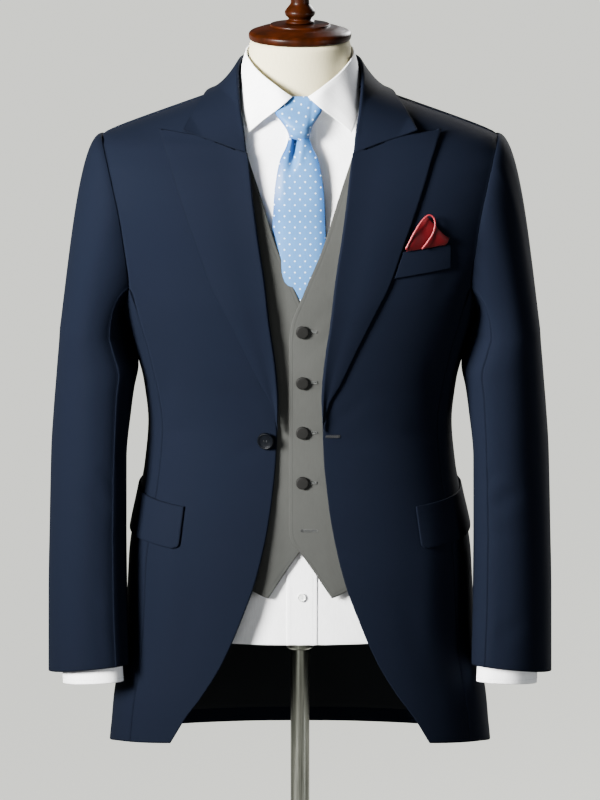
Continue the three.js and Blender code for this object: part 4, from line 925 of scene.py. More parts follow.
def rounded(profile, radius=0.4, cuts=3):
    """The same outline with each corner eased, so that a turned edge catches light."""
    out = [profile[0]]
    for before, here, after in zip(profile[:-2], profile[1:-1], profile[2:]):
        before, here, after = (np.array(p, float) for p in (before, here, after))
        reach = min(radius, np.linalg.norm(here - before) * 0.45, np.linalg.norm(after - here) * 0.45)
        start = here + unit(before - here) * reach
        end = here + unit(after - here) * reach
        for t in np.linspace(0, 1, cuts + 1):
            out.append(tuple((1 - t) ** 2 * start + 2 * t * (1 - t) * here + t * t * end))
    return out + [profile[-1]]


# Grids of the pieces
def spread_columns(layer, level, start, end, s, across, share):
    """Columns by angle low down and even across the body over the shoulders."""
    x0, x1 = layer.point(start, level)[..., 0], layer.point(end, level)[..., 0]
    even = across(x0 + (x1 - x0) * s, level)
    return start + (end - start) * s + (even - start - (end - start) * s) * share


def levels_between(stops, count):
    """Evenly spread levels that still pass through each stop."""
    stops = np.array(stops, float)
    total = stops[-1] - stops[0]
    parts = [np.linspace(a, b, max(2, round(count * (b - a) / total)) + 1)[:-1]
             for a, b in zip(stops[:-1], stops[1:])]
    return np.concatenate(parts + [stops[-1:]])


COAT_LEVELS = levels_between([680, 727, 815, 975, WAIST_Z, BREAK_Z, ARMPIT_Z, CHEST_Z, 1300, 1358, 1398,
                              SHOULDER_Z, 1420, 1432, 1445, 1457, NECK_Z], 132)


def forepart_grid(side, columns=52):
    """A forepart's angles and heights, from the front edge to the side seam."""
    levels = COAT_LEVELS[:, None]
    s = np.linspace(0, 1, columns)[None, :]
    edge_z = coat_z(levels, HEM_CORNER_ANGLE)
    start = coat.front_angle(coat_edge(edge_z), edge_z)
    arm = coat.front_angle(armhole_x(levels), levels)
    end = np.where(levels >= SHOULDER_Z, 90.0, np.where(levels >= CHEST_Z, arm, SEAM_ANGLE))
    share = smooth(levels, 1300, 1396)
    angle = spread_columns(coat, levels, start, end, s, coat.front_angle, share)
    return side * angle, coat_z(levels, angle)


def trim_sides(points, left=0.0, right=0.0, bottom=0.0, top=0.0):
    """Draws the grid's edges in, clear of the pieces sewn to it."""
    points = points.copy()
    if left:
        points[:, 0] += unit(points[:, 1] - points[:, 0]) * left
    if right:
        points[:, -1] += unit(points[:, -2] - points[:, -1]) * right
    if bottom:
        points[0] += unit(points[1] - points[0]) * bottom
    if top:
        points[-1] += unit(points[-2] - points[-1]) * top
    return points


def mirrored(creases, side):
    """The same creases on the wearer's left, or on the right for side -1."""
    flip = np.array([side, 1, 1])
    return [(start * flip, end * flip, bow * flip, width, depth)
            for start, end, bow, width, depth in creases]


# Start, end and bow of each crease, with its width and its depth, in millimetres, on the wearer's left
BODY_CREASES = [
    ((150, -95, 1000), (128, -90, 760), (4, 0, 0), 16, 1.4),
    ((176, -70, 930), (188, -75, 730), (-3, 0, 0), 20, -1.5),
    ((112, -108, 900), (150, -88, 735), (3, 0, 0), 14, -1.1),
    ((150, -88, 1170), (168, -60, 1082), (-6, -3, 0), 12, -1.3),
    ((120, -105, 1090), (166, -62, 1076), (0, 0, -4), 9, -1.1),
    ((188, -62, 1330), (150, -104, 1235), (4, -4, 6), 13, -1.3),
    ((196, -55, 1300), (176, -80, 1215), (3, -5, 0), 11, -1.3),
    ((205, -45, 1370), (192, -66, 1290), (2, -5, 0), 9, -1.1),
    ((172, -12, 1110), (186, -26, 1165), (2, 0, 0), 12, -1.2),
    ((172, 18, 1104), (184, 36, 1168), (2, 0, 0), 12, -1.1),
    ((206, -20, 880), (218, -10, 720), (0, 0, 0), 20, 1.4),
    ((204, 34, 900), (216, 44, 715), (0, 0, 0), 18, -1.2),
    ((90, 112, 1060), (150, 86, 1078), (0, 0, -3), 9, -1.3),
    ((60, 116, 1092), (140, 96, 1100), (0, 0, 3), 10, -1.1),
    ((150, 92, 1180), (186, 66, 1290), (2, 3, 0), 13, -1.5),
    ((60, 134, 930), (74, 146, 700), (0, 0, 0), 18, -1.6),
    ((120, 126, 940), (146, 134, 705), (0, 0, 0), 20, 1.5),
    ((20, 122, 1330), (120, 118, 1372), (0, 0, 6), 14, -1.1),
]
LEFT_CREASES = [
    ((34, -118, 1078), (90, -112, 1062), (0, 0, 3), 8, -1.0),
    ((36, -120, 1094), (78, -116, 1124), (0, 0, 2), 8, -0.7),
]
RIGHT_CREASES = [
    ((-34, -118, 1074), (-86, -112, 1052), (0, 0, 2), 9, -0.9),
    ((-40, -120, 1098), (-96, -114, 1140), (0, 0, 4), 9, -0.8),
]


def body_creased(points, normals):
    """The coat body's creases, shared by every panel and by what lies on the panels."""
    depth = bpy.context.scene.suit_cloth.coat_creases
    shared = BODY_CREASES + mirrored(BODY_CREASES, -1) + LEFT_CREASES + RIGHT_CREASES
    return creased(points, normals, [(a, b, c, width, d * depth) for a, b, c, width, d in shared])


def make_foreparts():
    """The coat's two fronts, open over the waistcoat."""
    for tag, side in SIDES:
        angle, z = forepart_grid(side)
        points, normals = coat.at(angle, z)
        points = body_creased(trim_sides(points, right=SEAM), normals)
        points, normals, wall = seamed(points, normals, COAT_WALL, ("right",), BUTTED_ROWS)
        cloth(f"coat_forepart_{tag}", points, normals, wall, looks.navy())


def armpit_angle(share):
    """The angle along the low part of the armhole, front to back."""
    first = coat.front_angle(armhole_x(CHEST_Z), CHEST_Z)
    last = coat.back_angle(armhole_x(CHEST_Z), CHEST_Z)
    return first + (last - first) * share


def armpit_z(share):
    """The height along the low part of the armhole, front to back."""
    return ARMPIT_Z + (CHEST_Z - ARMPIT_Z) * np.abs(2 * share - 1) ** 2.2


def sidebody_grid(columns=30, rows=86):
    """The left side body's angles and heights, front seam to back seam."""
    share = np.linspace(0, 1, columns)[None, :]
    levels = levels_between([680, 727, 815, 975, WAIST_Z, 1110, CHEST_Z], rows)[:, None]
    low = SEAM_ANGLE + (180 - 2 * SEAM_ANGLE) * share
    lean = smooth(levels, 1215, CHEST_Z)
    angle = low + (armpit_angle(share) - low) * lean
    squeeze = (armpit_z(share) - 1110) / (CHEST_Z - 1110)
    z = np.where(levels > 1110, 1110 + (levels - 1110) * squeeze, coat_z(levels, angle))
    return angle, z


def make_side_bodies():
    """The panels under the arms, tucked under the fronts and the backs."""
    for tag, side in SIDES:
        angle, z = sidebody_grid()
        points, normals = coat.at(side * angle, z)
        points = body_creased(trim_sides(points, SEAM, SEAM, 0, SEAM), normals)
        points, normals, wall = seamed(points, normals, COAT_WALL, ("left", "right"), TUCKED_ROWS)
        cloth(f"coat_sidebody_{tag}", points, normals, wall, looks.navy())


def make_backs():
    """The coat's two backs, joined down the middle."""
    for tag, side in SIDES:
        levels = COAT_LEVELS[:, None]
        s = np.linspace(0, 1, 48)[None, :]
        arm = coat.back_angle(armhole_x(levels), levels)
        start = np.where(levels >= SHOULDER_Z, 90.0, np.where(levels >= CHEST_Z, arm, 180 - SEAM_ANGLE))
        end = np.full_like(start, 180.0)
        angle = spread_columns(coat, levels, start, end, s, coat.back_angle, smooth(levels, 1300, 1396))
        points, normals = coat.at(side * angle, coat_z(levels, angle))
        points = body_creased(trim_sides(points, SEAM, SEAM / 2), normals)
        reach = 0.4 + 4 * smooth(COAT_LEVELS, SHOULDER_Z, SHOULDER_Z + 12)
        points, normals, wall = seamed(points, normals, COAT_WALL, ("left",), TUCKED_ROWS, reach)
        centre = TUCKED_ROWS if side > 0 else BUTTED_ROWS
        points, normals, wall = seamed(points, normals, wall, ("right",), centre)
        cloth(f"coat_back_{tag}", points, normals, wall, looks.navy())


def make_tail_lining():
    """The black lining that shows inside the open skirts, in soft ripples."""
    levels = levels_between([698, 727, 815, 975], 60)[:, None]
    across = np.linspace(0, 1, 64)[None, :]
    low = SEAM_ANGLE + (180 - 2 * SEAM_ANGLE) * 0.25
    angle = low + (179.7 - low) * across
    z = coat_z(levels, angle)
    fade = smooth(950 - z, 0, 120) * smooth(z, 700, 730)
    for tag, side in SIDES:
        ripple = np.sin(np.radians(angle) * 13 + 0.6 * side) + 0.6 * np.sin(np.radians(angle) * 22 + 1.3)
        points, normals = coat.at(side * angle, z, -2.9 - 0.7 * (1 + ripple / 1.6) * fade)
        cloth(f"coat_tail_lining_{tag}", points, normals, 1.0, looks.lining())


# Sleeves
# Places q round a sleeve's head run from 0 at the shoulder down the front to 9 and up the back to 18
q_height = curve({"q": np.arange(1, 8.0), "z": np.array([1398, 1382, 1358, 1330, 1300, 1270, 1245.0])},
                 "q", "z")
q_angle = curve({"q": np.arange(10.0), "a": np.array(CROWN_ANGLES, float)}, "q", "a")


def sleeve_reader(rows):
    """A curve for each column of a sleeve's table."""
    return {name: curve(rows, "z", name) for name in rows if name != "z"}


def sleeve_ring(read, z, angle):
    """Points of a level ring of the wearer's left sleeve. Angle 0 is the outside, 90 the front."""
    turn = np.radians(angle)
    cosine, sine = np.cos(turn), np.sin(turn)
    middle, half = (read["outer"](z) + read["inner"](z)) / 2, (read["outer"](z) - read["inner"](z)) / 2
    radius = (np.abs(cosine) ** 2.25 + np.abs(sine) ** 2.25) ** (-1 / 2.25)
    outward, forward = cosine * radius, sine * radius
    y = -read["depth"](z) * forward
    x = middle + half * outward + read["shear"](z) * y
    lift = read["rise"](z) * forward - read["drop"](z) * outward
    return np.stack(np.broadcast_arrays(x, read["centre"](z) + y, z + lift), -1)


def crown_turn(q):
    """Places q round a sleeve's head: counted from the shoulder on both halves, and as a turn in degrees."""
    half = np.where(q > 9, 18 - q, q)
    return half, np.where(q > 9, 360 - q_angle(half), q_angle(half))


def crown_ring(layer, width, top, height_at, low_at, q, low_lift=0.0):
    """The armhole's ring on the wearer's left at q: 0 shoulder, 7 and 11 the ends of the low part."""
    half, _ = crown_turn(q)
    z = np.where(half <= 1, top - (top - height_at(1.0)) * half ** 2, height_at(half))
    share = np.clip((q - 7) / 4, 0, 1)
    low_angle, low_z = low_at(share)
    z = np.where(half >= 7, low_z, z)
    front, back = layer.front_angle(width(z), z), layer.back_angle(width(z), z)
    angle = np.where(half >= 7, low_angle, np.where(q <= 9, front, back))
    return layer.at(angle, z, np.where(half >= 7, low_lift * np.sin(np.pi * share) ** 0.5, 0))[0]


def crown_grid(ring, first, turn, share, out, swing):
    """Rows from the armhole's ring to a sleeve's first level ring, bowed out over the shoulder."""
    cosine, sine = np.cos(turn), np.sin(turn)
    leave = ring + np.stack([out, -8 * sine, 3 * cosine - 6 * sine * sine], -1)
    arrive = first + np.stack([swing, 0 * sine, CROWN_FALL * (ring[:, 2] - first[:, 2])], -1)
    t = share[:, None, None]
    return (1 - t) ** 3 * ring + 3 * (1 - t) ** 2 * t * leave + 3 * (1 - t) * t * t * arrive + t ** 3 * first


def sleeve_axis(read, side, top):
    """Gives the point of a sleeve's axis beside each point of its grid."""
    def away(points):
        z = points[..., 2]
        return np.stack([np.full(z.shape, side * 238.0), read["centre"](np.minimum(z, top)),
                         np.minimum(z, CHEST_Z)], -1)
    return away


def sleeve_points(q, heights, crown_rows, side):
    """A coat sleeve's grid from the armhole down: rows of the crown, then level rings."""
    read = sleeve_reader(SLEEVE)
    ring = crown_ring(coat, armhole_x, SHOULDER_Z, q_height, lambda s: (armpit_angle(s), armpit_z(s)), q)
    angle = crown_turn(q)[1]
    turn = np.radians(angle)
    cosine = np.cos(turn)
    first = sleeve_ring(read, np.full(len(q), SLEEVE_TOP_Z), angle)
    hug = 2.5 * np.maximum(-cosine, 0) ** 3
    crown = crown_grid(ring, first, turn, (np.arange(crown_rows) / crown_rows) ** 1.15,
                       COAT_BOW * np.abs(np.cos(turn / 2)) - hug, CROWN_SWING * np.maximum(cosine, 0))
    lower = sleeve_ring(read, np.array(heights, float)[:, None], angle[None, :])
    points = np.concatenate([crown, lower])
    points[..., 0] *= side
    return points


SLEEVE_CREASES = [
    ((252, -72, 1010), (214, -84, 985), (0, -6, 3), 11, -2.0),
    ((262, -62, 968), (206, -78, 950), (0, -6, 4), 12, -1.8),
    ((230, -90, 1040), (206, -72, 1012), (0, -3, 2), 9, -1.2),
    ((214, -88, 1230), (206, -78, 1010), (0, -4, 0), 8, 1.1),
    ((222, -100, 900), (214, -104, 812), (2, -2, 0), 8, 0.9),
    ((252, 42, 1000), (232, 50, 972), (0, 5, 3), 12, -1.8),
    ((276, 14, 960), (252, 40, 930), (0, 4, 3), 12, -1.4),
    ((262, -40, 1370), (276, -30, 1250), (3, -3, 0), 16, -0.8),
]
SLEEVE_OWN = {
    "l": [((216, -92, 1120), (212, -86, 1030), (0, -3, 0), 6, -1.2),
          ((258, -84, 860), (226, -104, 838), (0, -4, 4), 11, -1.1)],
    "r": [((-222, -96, 1085), (-212, -88, 1010), (0, -4, 0), 8, -1.4),
          ((-262, -76, 905), (-226, -98, 872), (0, -4, 5), 12, -1.3)],
}


def make_sleeves(depth):
    """The coat's sleeves, each cut into a top and an under sleeve."""
    read = sleeve_reader(SLEEVE)
    heights = np.linspace(SLEEVE_TOP_Z, SLEEVE_END_Z, 86)
    columns_to_q = 8
    q_all = np.linspace(0, 18, 18 * columns_to_q + 1)[:-1]
    seam, last = 7 * columns_to_q, 11 * columns_to_q
    columns = {"topsleeve": np.r_[last:len(q_all), 0:seam + 1], "undersleeve": np.r_[seam:last + 1]}
    for tag, side in SIDES:
        creases = [(a, b, c, width, d * depth)
                   for a, b, c, width, d in mirrored(SLEEVE_CREASES, side) + SLEEVE_OWN[tag]]
        grid = sleeve_points(q_all, heights, 34, side)
        normals = grid_normals(grid, True, sleeve_axis(read, side, SLEEVE_TOP_Z))
        grid = creased(grid, normals, creases)
        for part, pick in columns.items():
            points = trim_sides(grid[:, pick], SEAM / 2, SEAM / 2, 0.2, 0)
            sides = BUTTED_ROWS if part == "topsleeve" else TUCKED_ROWS
            points, facing, wall = seamed(points, normals[:, pick], COAT_WALL, ("left", "right"), sides)
            points, facing, wall = seamed(points, facing, wall, ("bottom",), TUCKED_ROWS)
            cloth(f"coat_{part}_{tag}", points, facing, wall, looks.navy())


# Lapels, collar and trim
lapel_x, lapel_z = curve(LAPEL_EDGE, "roll", "x"), curve(LAPEL_EDGE, "roll", "z")
lapel_reach = curve(LAPEL_EDGE, "z", "x")


def rolled_edge(first, second, normal, radius, degrees, steps):
    """Rows that roll over from a fold's row, and their normals, from the innermost to the fold."""
    tangent = unit(second - first)
    rows, facings = [], []
    for k in range(steps, 0, -1):
        turn = math.radians(degrees) * k / steps
        facing = math.cos(turn) * normal - math.sin(turn) * tangent
        rows.append(first - normal * radius + facing * radius)
        facings.append(facing)
    return rows, facings


def fold_rolled(leaf, normals, radius, degrees, steps, wall, fold_wall):
    """A collar's leaf with its fold rolled over into the stand: points, normals and wall."""
    rows, facings = rolled_edge(leaf[0], leaf[1], normals[0], radius, degrees, steps)
    points = np.concatenate([np.stack(rows), leaf])
    thick = np.full(points.shape[:2], wall)
    thick[:steps + 1] = fold_wall
    return points, np.concatenate([np.stack(facings), normals]), thick


def lapel_grid(side, rows=96, columns=30):
    """The turned facing: its outside, from the roll line to its edge."""
    u = 1 - (1 - np.linspace(0, 1, rows)[:, None]) ** 1.3
    v = np.linspace(0, 1, columns)[None, :]
    roll = 1088 + (GORGE_Z - 1088) * u
    roll_x = coat_edge(roll) - 0.8
    bend = 6.5 * np.minimum(v / 0.57, (1 - v) / 0.43) * u ** 6
    x = roll_x + (lapel_x(roll) - roll_x) * v
    z = roll + (lapel_z(roll) - roll) * v + bend + 4.2 * u ** 12 * (1 - v) ** 1.6
    lift = 3.3 + 2.4 * np.maximum(0, 1 - v / 0.35) ** 2 + 1.1 * u ** 4
    belly = 1.7 * np.sin(np.pi * np.clip(v, 0, 1)) * np.sin(np.pi * u) ** 1.2
    return side * x, z, lift + belly


def make_lapels():
    """The peaked facings, rolled over along the front edge."""
    for tag, side in SIDES:
        x, z, lift = lapel_grid(side)
        points, normals = coat.at_front(x, z, lift)
        roll = np.linspace(0, 1, len(points))
        radius = (2.1 + 1.5 * np.exp(-((roll - 0.12) / 0.16) ** 2)) * smooth(roll, 0, 0.05) + 0.9
        radius = radius * (1 - 0.55 * smooth(roll, 0.8, 1))
        steps = 9
        rows, facings = rolled_edge(points[:, 0], points[:, 1], normals[:, 0], radius[:, None], 118, steps)
        points = np.concatenate([np.stack(rows, 1), points], 1)
        normals = np.concatenate([np.stack(facings, 1), normals], 1)
        wall = np.full(points.shape[:2], 2.0)
        wall[:, :steps + 1] = np.minimum(2.0, radius * 0.62)[:, None]
        points = body_creased(trim_sides(points, top=1.2), normals)
        cloth(f"coat_lapel_{tag}", points, normals, wall, looks.navy_plain())


def catmull(points, count):
    """Evenly stepped points of a centripetal curve through the given ones."""
    points = np.array(points, float)
    ends = np.concatenate([[2 * points[0] - points[1]], points, [2 * points[-1] - points[-2]]])
    out = []
    for wanted in np.linspace(0, len(points) - 1, count + 1):
        i = min(int(wanted), len(points) - 2)
        p0, p1, p2, p3 = ends[i:i + 4]
        gaps = [max(np.linalg.norm(b - a), 1e-6) ** 0.5 for a, b in ((p0, p1), (p1, p2), (p2, p3))]
        t0, t1 = 0.0, gaps[0]
        t2, t3 = t1 + gaps[1], t1 + gaps[1] + gaps[2]
        t = t1 + (t2 - t1) * (wanted - i)
        a1 = (t1 - t) / (t1 - t0) * p0 + (t - t0) / (t1 - t0) * p1
        a2 = (t2 - t) / (t2 - t1) * p1 + (t - t1) / (t2 - t1) * p2
        a3 = (t3 - t) / (t3 - t2) * p2 + (t - t2) / (t3 - t2) * p3
        b1 = (t2 - t) / (t2 - t0) * a1 + (t - t0) / (t2 - t0) * a2
        b2 = (t3 - t) / (t3 - t1) * a2 + (t - t1) / (t3 - t1) * a3
        out.append((t2 - t) / (t2 - t1) * b1 + (t - t1) / (t2 - t1) * b2)
    return np.array(out)


NO_TOP = 5000
FOLD = ("fold_x", "fold_y", "fold_z")
EDGE = ("edge_x", "edge_y", "edge_z")


def both_halves(values, sign=1):
    """A column of a collar's table in one run, right front round the back to the left front."""
    return np.concatenate([sign * values[:-1], values[::-1]])


def stations(rows, names, first=0):
    """Both sides' stations of a collar in one run, from the table's row first on."""
    signs = (-1, 1, 1)
    return np.stack([both_halves(rows[name][first:], sign) for name, sign in zip(names, signs)], -1)


def collar_lines(rows, count):
    """A collar's fold and its free edge, each as points of one smooth run."""
    return catmull(stations(rows, FOLD), count), catmull(stations(rows, EDGE), count)


def stand_grid(fold, foot, inset, drop, columns, rows):
    """A collar's stand, from its foot up to just inside the fold."""
    top = fold.copy()
    radial = np.hypot(top[:, 0], top[:, 1])
    top[:, :2] *= ((radial - inset) / radial)[:, None]
    top[:, 2] -= drop
    t = np.linspace(0, 1, rows)[:, None, None]
    return catmull(foot, columns)[None] * (1 - t) + catmull(top, columns)[None] * t


def pushed_out(points, layer):
    """Moves the points that lie inside a layer out to its surface."""
    flat = points.reshape(-1, 3).copy()
    for _ in range(80):
        angle = np.degrees(np.arctan2(flat[:, 0], -flat[:, 1]))
        surface = layer.point(angle, flat[:, 2])
        inside = np.hypot(flat[:, 0], flat[:, 1]) < np.hypot(surface[:, 0], surface[:, 1])
        if not inside.any():
            break
        flat += layer.normal(angle, flat[:, 2]) * (0.2 * inside)[:, None]
    return flat.reshape(points.shape)


def round_collar_away(points, top):
    """The neck's axis beside each point, no higher than top."""
    return np.stack([np.zeros(points.shape[:2]), np.zeros(points.shape[:2]),
                     np.minimum(points[..., 2], top)], -1)


def make_collar():
    """The coat's collar, turned down over its stand round the neck."""
    count = 150
    fold, edge = collar_lines(COLLAR, count)
    sag = catmull(both_halves(COLLAR["sag"])[:, None], count)[:, 0]
    v = np.linspace(0, 1, 26)[:, None]
    fall = fold[None] + (edge - fold)[None] * v[..., None]
    fall[..., 2] -= 4 * v * (1 - v) * sag[None]
    low = fall[..., 2] < 1466
    fall = np.where(low[..., None], pushed_out(fall, over_coat), fall)
    normals = grid_normals(fall, False, lambda p: round_collar_away(p, 1380))
    points, normals, wall = fold_rolled(fall, normals, 2.3, 150, 8, COAT_WALL, 1.5)
    cloth("coat_collar", points, normals, wall, looks.navy_plain())
    rows = stations(COLLAR, FOLD, 3)
    angle = np.degrees(np.arctan2(rows[:, 0], -rows[:, 1]))
    foot = coat.point(angle, np.full(len(angle), NECK_Z + 0.6))
    stand = stand_grid(rows, foot, 2.8, 5, 110, 12)
    normals = grid_normals(stand, False, lambda p: round_collar_away(p, NO_TOP))
    cloth("coat_collar_stand", stand, normals, 1.6, looks.navy_plain())


FLAP_DEPTH, FLAP_CORNER = 49.5, 7
WELT_Z, WELT_DEPTH = 1266, 29


def welt_foot_z(x):
    """The breast welt's lower edge, which rises toward the sleeve."""
    return WELT_Z + 8 * (x - 104) / 66


def make_pockets():
    """The hip flaps, the breast welt and the pocket square."""
    for tag, side in SIDES:
        t = np.linspace(0, 1, 26)[:, None]
        s = np.linspace(0, 1, 70)[None, :]
        z = 947 + FLAP_DEPTH * t + 8 * s
        corner = FLAP_CORNER - np.sqrt(FLAP_CORNER ** 2 - np.maximum(0, FLAP_CORNER - FLAP_DEPTH * t) ** 2)
        start = coat.front_angle(131 + 6 * (1 - t) + corner, 948 + 48.5 * t)
        angle = start + (102 - start) * s
        flare = (0.8 + 0.5 * np.sin(s * 7 + side)) * (1 - t)
        points, normals = coat.at(side * angle, z, 2.9 + flare)
        points = body_creased(points, normals)
        cloth(f"coat_flap_{tag}", points, normals, COAT_WALL, looks.navy_plain())
    t = np.linspace(0, 1, 20)[:, None]
    s = np.linspace(0, 1, 40)[None, :]
    inner = lapel_reach(WELT_Z + WELT_DEPTH * t) + 2.2
    x = inner + (170 - inner) * s
    points, normals = coat.at_front(x, welt_foot_z(x) + WELT_DEPTH * t, 2.6)
    cloth("coat_breast_welt", points, normals, 1.9, looks.navy_plain())
    make_pocket_square()


# The rolled hem that shows on the pocket square, from its foot by the lapel over the peak and down again
SQUARE_LOOP = [(117, 1300), (122, 1310), (130, 1324), (138, 1334), (143.5, 1337), (148, 1334), (149.5, 1325),
               (146, 1315), (140, 1306), (135, 1300)]


def make_pocket_square():
    """The folded square in the breast pocket, with its rolled hem."""
    top_x, top_z = curve(SQUARE_EDGE, "s", "x"), curve(SQUARE_EDGE, "s", "z")
    t = np.linspace(0, 1, 26)[:, None]
    s = np.linspace(0, 1, 72)[None, :]
    low_x = 118.5 + 44.5 * s
    low_z = welt_foot_z(low_x) + WELT_DEPTH + 0.5
    fold = 1.8 * np.sin(s * np.pi * 3) * t
    x = low_x + (top_x(s) - low_x) * t
    z = low_z + (top_z(s) - low_z) * t
    lift = 4.6 + fold + 1.5 * np.sin(t * np.pi)
    points, normals = coat.at_front(x, z, lift)
    cloth("pocket_square", points, normals, 1.2, looks.red())
    loop = catmull([(x, 0, z) for x, z in SQUARE_LOOP], 90)
    share = np.linspace(0, 1, 91)
    lift = 7.4 + 1.2 * np.sin(share * np.pi)
    path = coat.at_front(loop[:, 0], loop[:, 2], lift)[0]
    # The hem tube is the real rolled hem; its pink colour is a painted highlight along it
    hem = tube_mesh("pocket_square_hem", path, 1.0)
    place_piece("pocket_square_hem", hem, looks.hem_painted_highlight(), [])


def tube_mesh(name, path, radius, around=12):
    """A closed round tube along a path, tapering to a point at its ends."""
    path = np.array(path, float)
    along = unit(np.gradient(path, axis=0))
    side = unit(np.cross(along, np.array([0.3, -1.0, 0.1])))
    up = np.cross(side, along)
    turn = 2 * np.pi * np.arange(around) / around
    t = np.linspace(0, 1, len(path))
    size = radius * np.minimum(1, np.sqrt(np.minimum(t, 1 - t) / 0.02 + 0.04))[:, None, None]
    cosine, sine = np.cos(turn)[None, :, None], np.sin(turn)[None, :, None]
    rings = path[:, None] + size * (cosine * side[:, None] + sine * up[:, None])
    grid, quads = ring_quads(len(path), around)
    return solid_mesh(name, rings.reshape(-1, 3), quads + [grid[0][::-1].tolist(), grid[-1].tolist()])


def ring_quads(rows, around):
    """The point numbers of stacked closed rings and the four-sided faces between them."""
    grid = np.arange(rows * around).reshape(rows, around)
    onward = np.roll(grid, -1, 1)
    quads = np.stack([grid[:-1], onward[:-1], onward[1:], grid[1:]], -1)
    return grid, quads.reshape(-1, 4).tolist()


# Waistcoat
v_edge = curve(V_EDGE, "z", "x")
waistcoat_hem = curve(WAISTCOAT_HEM, "angle", "z")
waistcoat_arm = curve(WAISTCOAT_ARMHOLE, "z", "x")
WAIST_LEVELS = levels_between([893, 947, 975, WAIST_Z, 1191, 1215, CHEST_Z, 1300, 1358, 1396, 1410, 1428,
                               1445, 1457], 120)


WAIST_HEM_ROW, WAIST_FREE_Z = 893, 1010


def waistcoat_z(level, angle):
    """A waistcoat row's height at an angle: near the hem the rows follow it."""
    free = (WAIST_FREE_Z - level) / (WAIST_FREE_Z - WAIST_HEM_ROW)
    return np.where(level >= WAIST_FREE_Z, level, level + (waistcoat_hem(angle) - WAIST_HEM_ROW) * free)


def waistcoat_reach(level, angle_at):
    """The angle of the armhole at a level, or of the side below and above it."""
    arm = waistcoat_arm(level)
    inside = waistcoat.side(level) > arm
    return np.where((level >= 1215) & inside, angle_at(np.minimum(arm, waistcoat.side(level)), level), 90.0)


WAIST_CREASES = [
    ((8, -118, 1196), (62, -116, 1262), (-3, 0, 4), 7, -1.5),
    ((10, -118, 1180), (84, -112, 1226), (-2, 0, 5), 8, -1.2),
    ((12, -116, 1140), (96, -104, 1128), (0, 0, 4), 9, -0.9),
    ((14, -112, 1082), (92, -100, 1100), (0, 0, -3), 8, -1.0),
    ((14, -112, 1026), (80, -104, 1006), (0, 0, 3), 9, -0.9),
    ((60, -108, 1000), (52, -110, 930), (0, 0, 0), 14, 1.0),
]
WAIST_OWN = {
    "l": [((22, -120, 1216), (52, -118, 1300), (4, 0, 0), 6, 0.9)],
    "r": [((-26, -116, 1200), (-60, -114, 1244), (2, 0, 2), 8, -1.2),
          ((-26, -112, 1080), (-84, -102, 1068), (0, 0, 3), 8, -0.9)],
}


def make_waistcoat_fronts(depth):
    """The waistcoat's fronts, the left one lying over the right."""
    for tag, side in SIDES:
        levels = WAIST_LEVELS[:, None]
        s = np.linspace(0, 1, 56)[None, :]
        start = waistcoat.front_angle(v_edge(levels), levels)
        end = waistcoat_reach(levels, waistcoat.front_angle)
        share = smooth(levels, 1358, 1420)
        angle = spread_columns(waistcoat, levels, start, end, s, waistcoat.front_angle, share)
        z = waistcoat_z(levels, angle)
        x = waistcoat.point(angle, z)[..., 0]
        under = (smooth(x, 14, 38) - 1) * (2.25 if side < 0 else 0)
        points, normals = waistcoat.at(side * angle, z, under)
        points = trim_sides(points, right=SEAM)
        creases = mirrored(WAIST_CREASES, side) + WAIST_OWN[tag]
        scale = depth * (1 if side > 0 else 0.8)
        points = creased(points, normals, [(a, b, c, width, d * scale) for a, b, c, width, d in creases])
        cloth(f"waistcoat_front_{tag}", points, normals, 1.8, looks.grey())


def make_waistcoat_back():
    """The waistcoat's back, in one round panel."""
    levels = levels_between([WAIST_HEM_ROW, 975, WAIST_Z, 1215, CHEST_Z, 1300, 1358, 1396, 1410, 1428, 1445,
                             1457], 90)[:, None]
    s = np.linspace(0, 1, 96)[None, :]
    start = waistcoat_reach(levels, waistcoat.back_angle)
    reach = waistcoat.point(start, levels)[..., 0]
    x = reach * (1 - 2 * s)
    behind = waistcoat.back_angle(np.abs(x), levels)
    even = np.where(x < 0, 360 - behind, behind)
    angle = start + (360 - 2 * start) * s
    angle = angle + (even - angle) * smooth(levels, 1358, 1420)
    z = waistcoat_z(levels, np.where(angle > 180, 360 - angle, angle))
    points, normals = waistcoat.at(angle, z)
    points = trim_sides(points, SEAM, SEAM)
    cloth("waistcoat_back", points, normals, 1.8, looks.grey())


# Shirt
shirt_neck, shirt_arm = curve(SHIRT_NECK, "z", "x"), curve(SHIRT_ARMHOLE, "z", "x")
SHIRT_LEVELS = levels_between([SHIRT_HEM_Z, 975, WAIST_Z, 1215, CHEST_Z, 1300, 1358, 1396, 1404, 1416, 1428,
                               1436, 1447, 1456, 1465], 110)


def shirt_reach(level, angle_at):
    """The angle of the armhole at a level, or of the side below and above it."""
    inside = (level >= CHEST_Z) & (level <= 1400)
    return np.where(inside, angle_at(shirt_arm(level), level), 90.0)


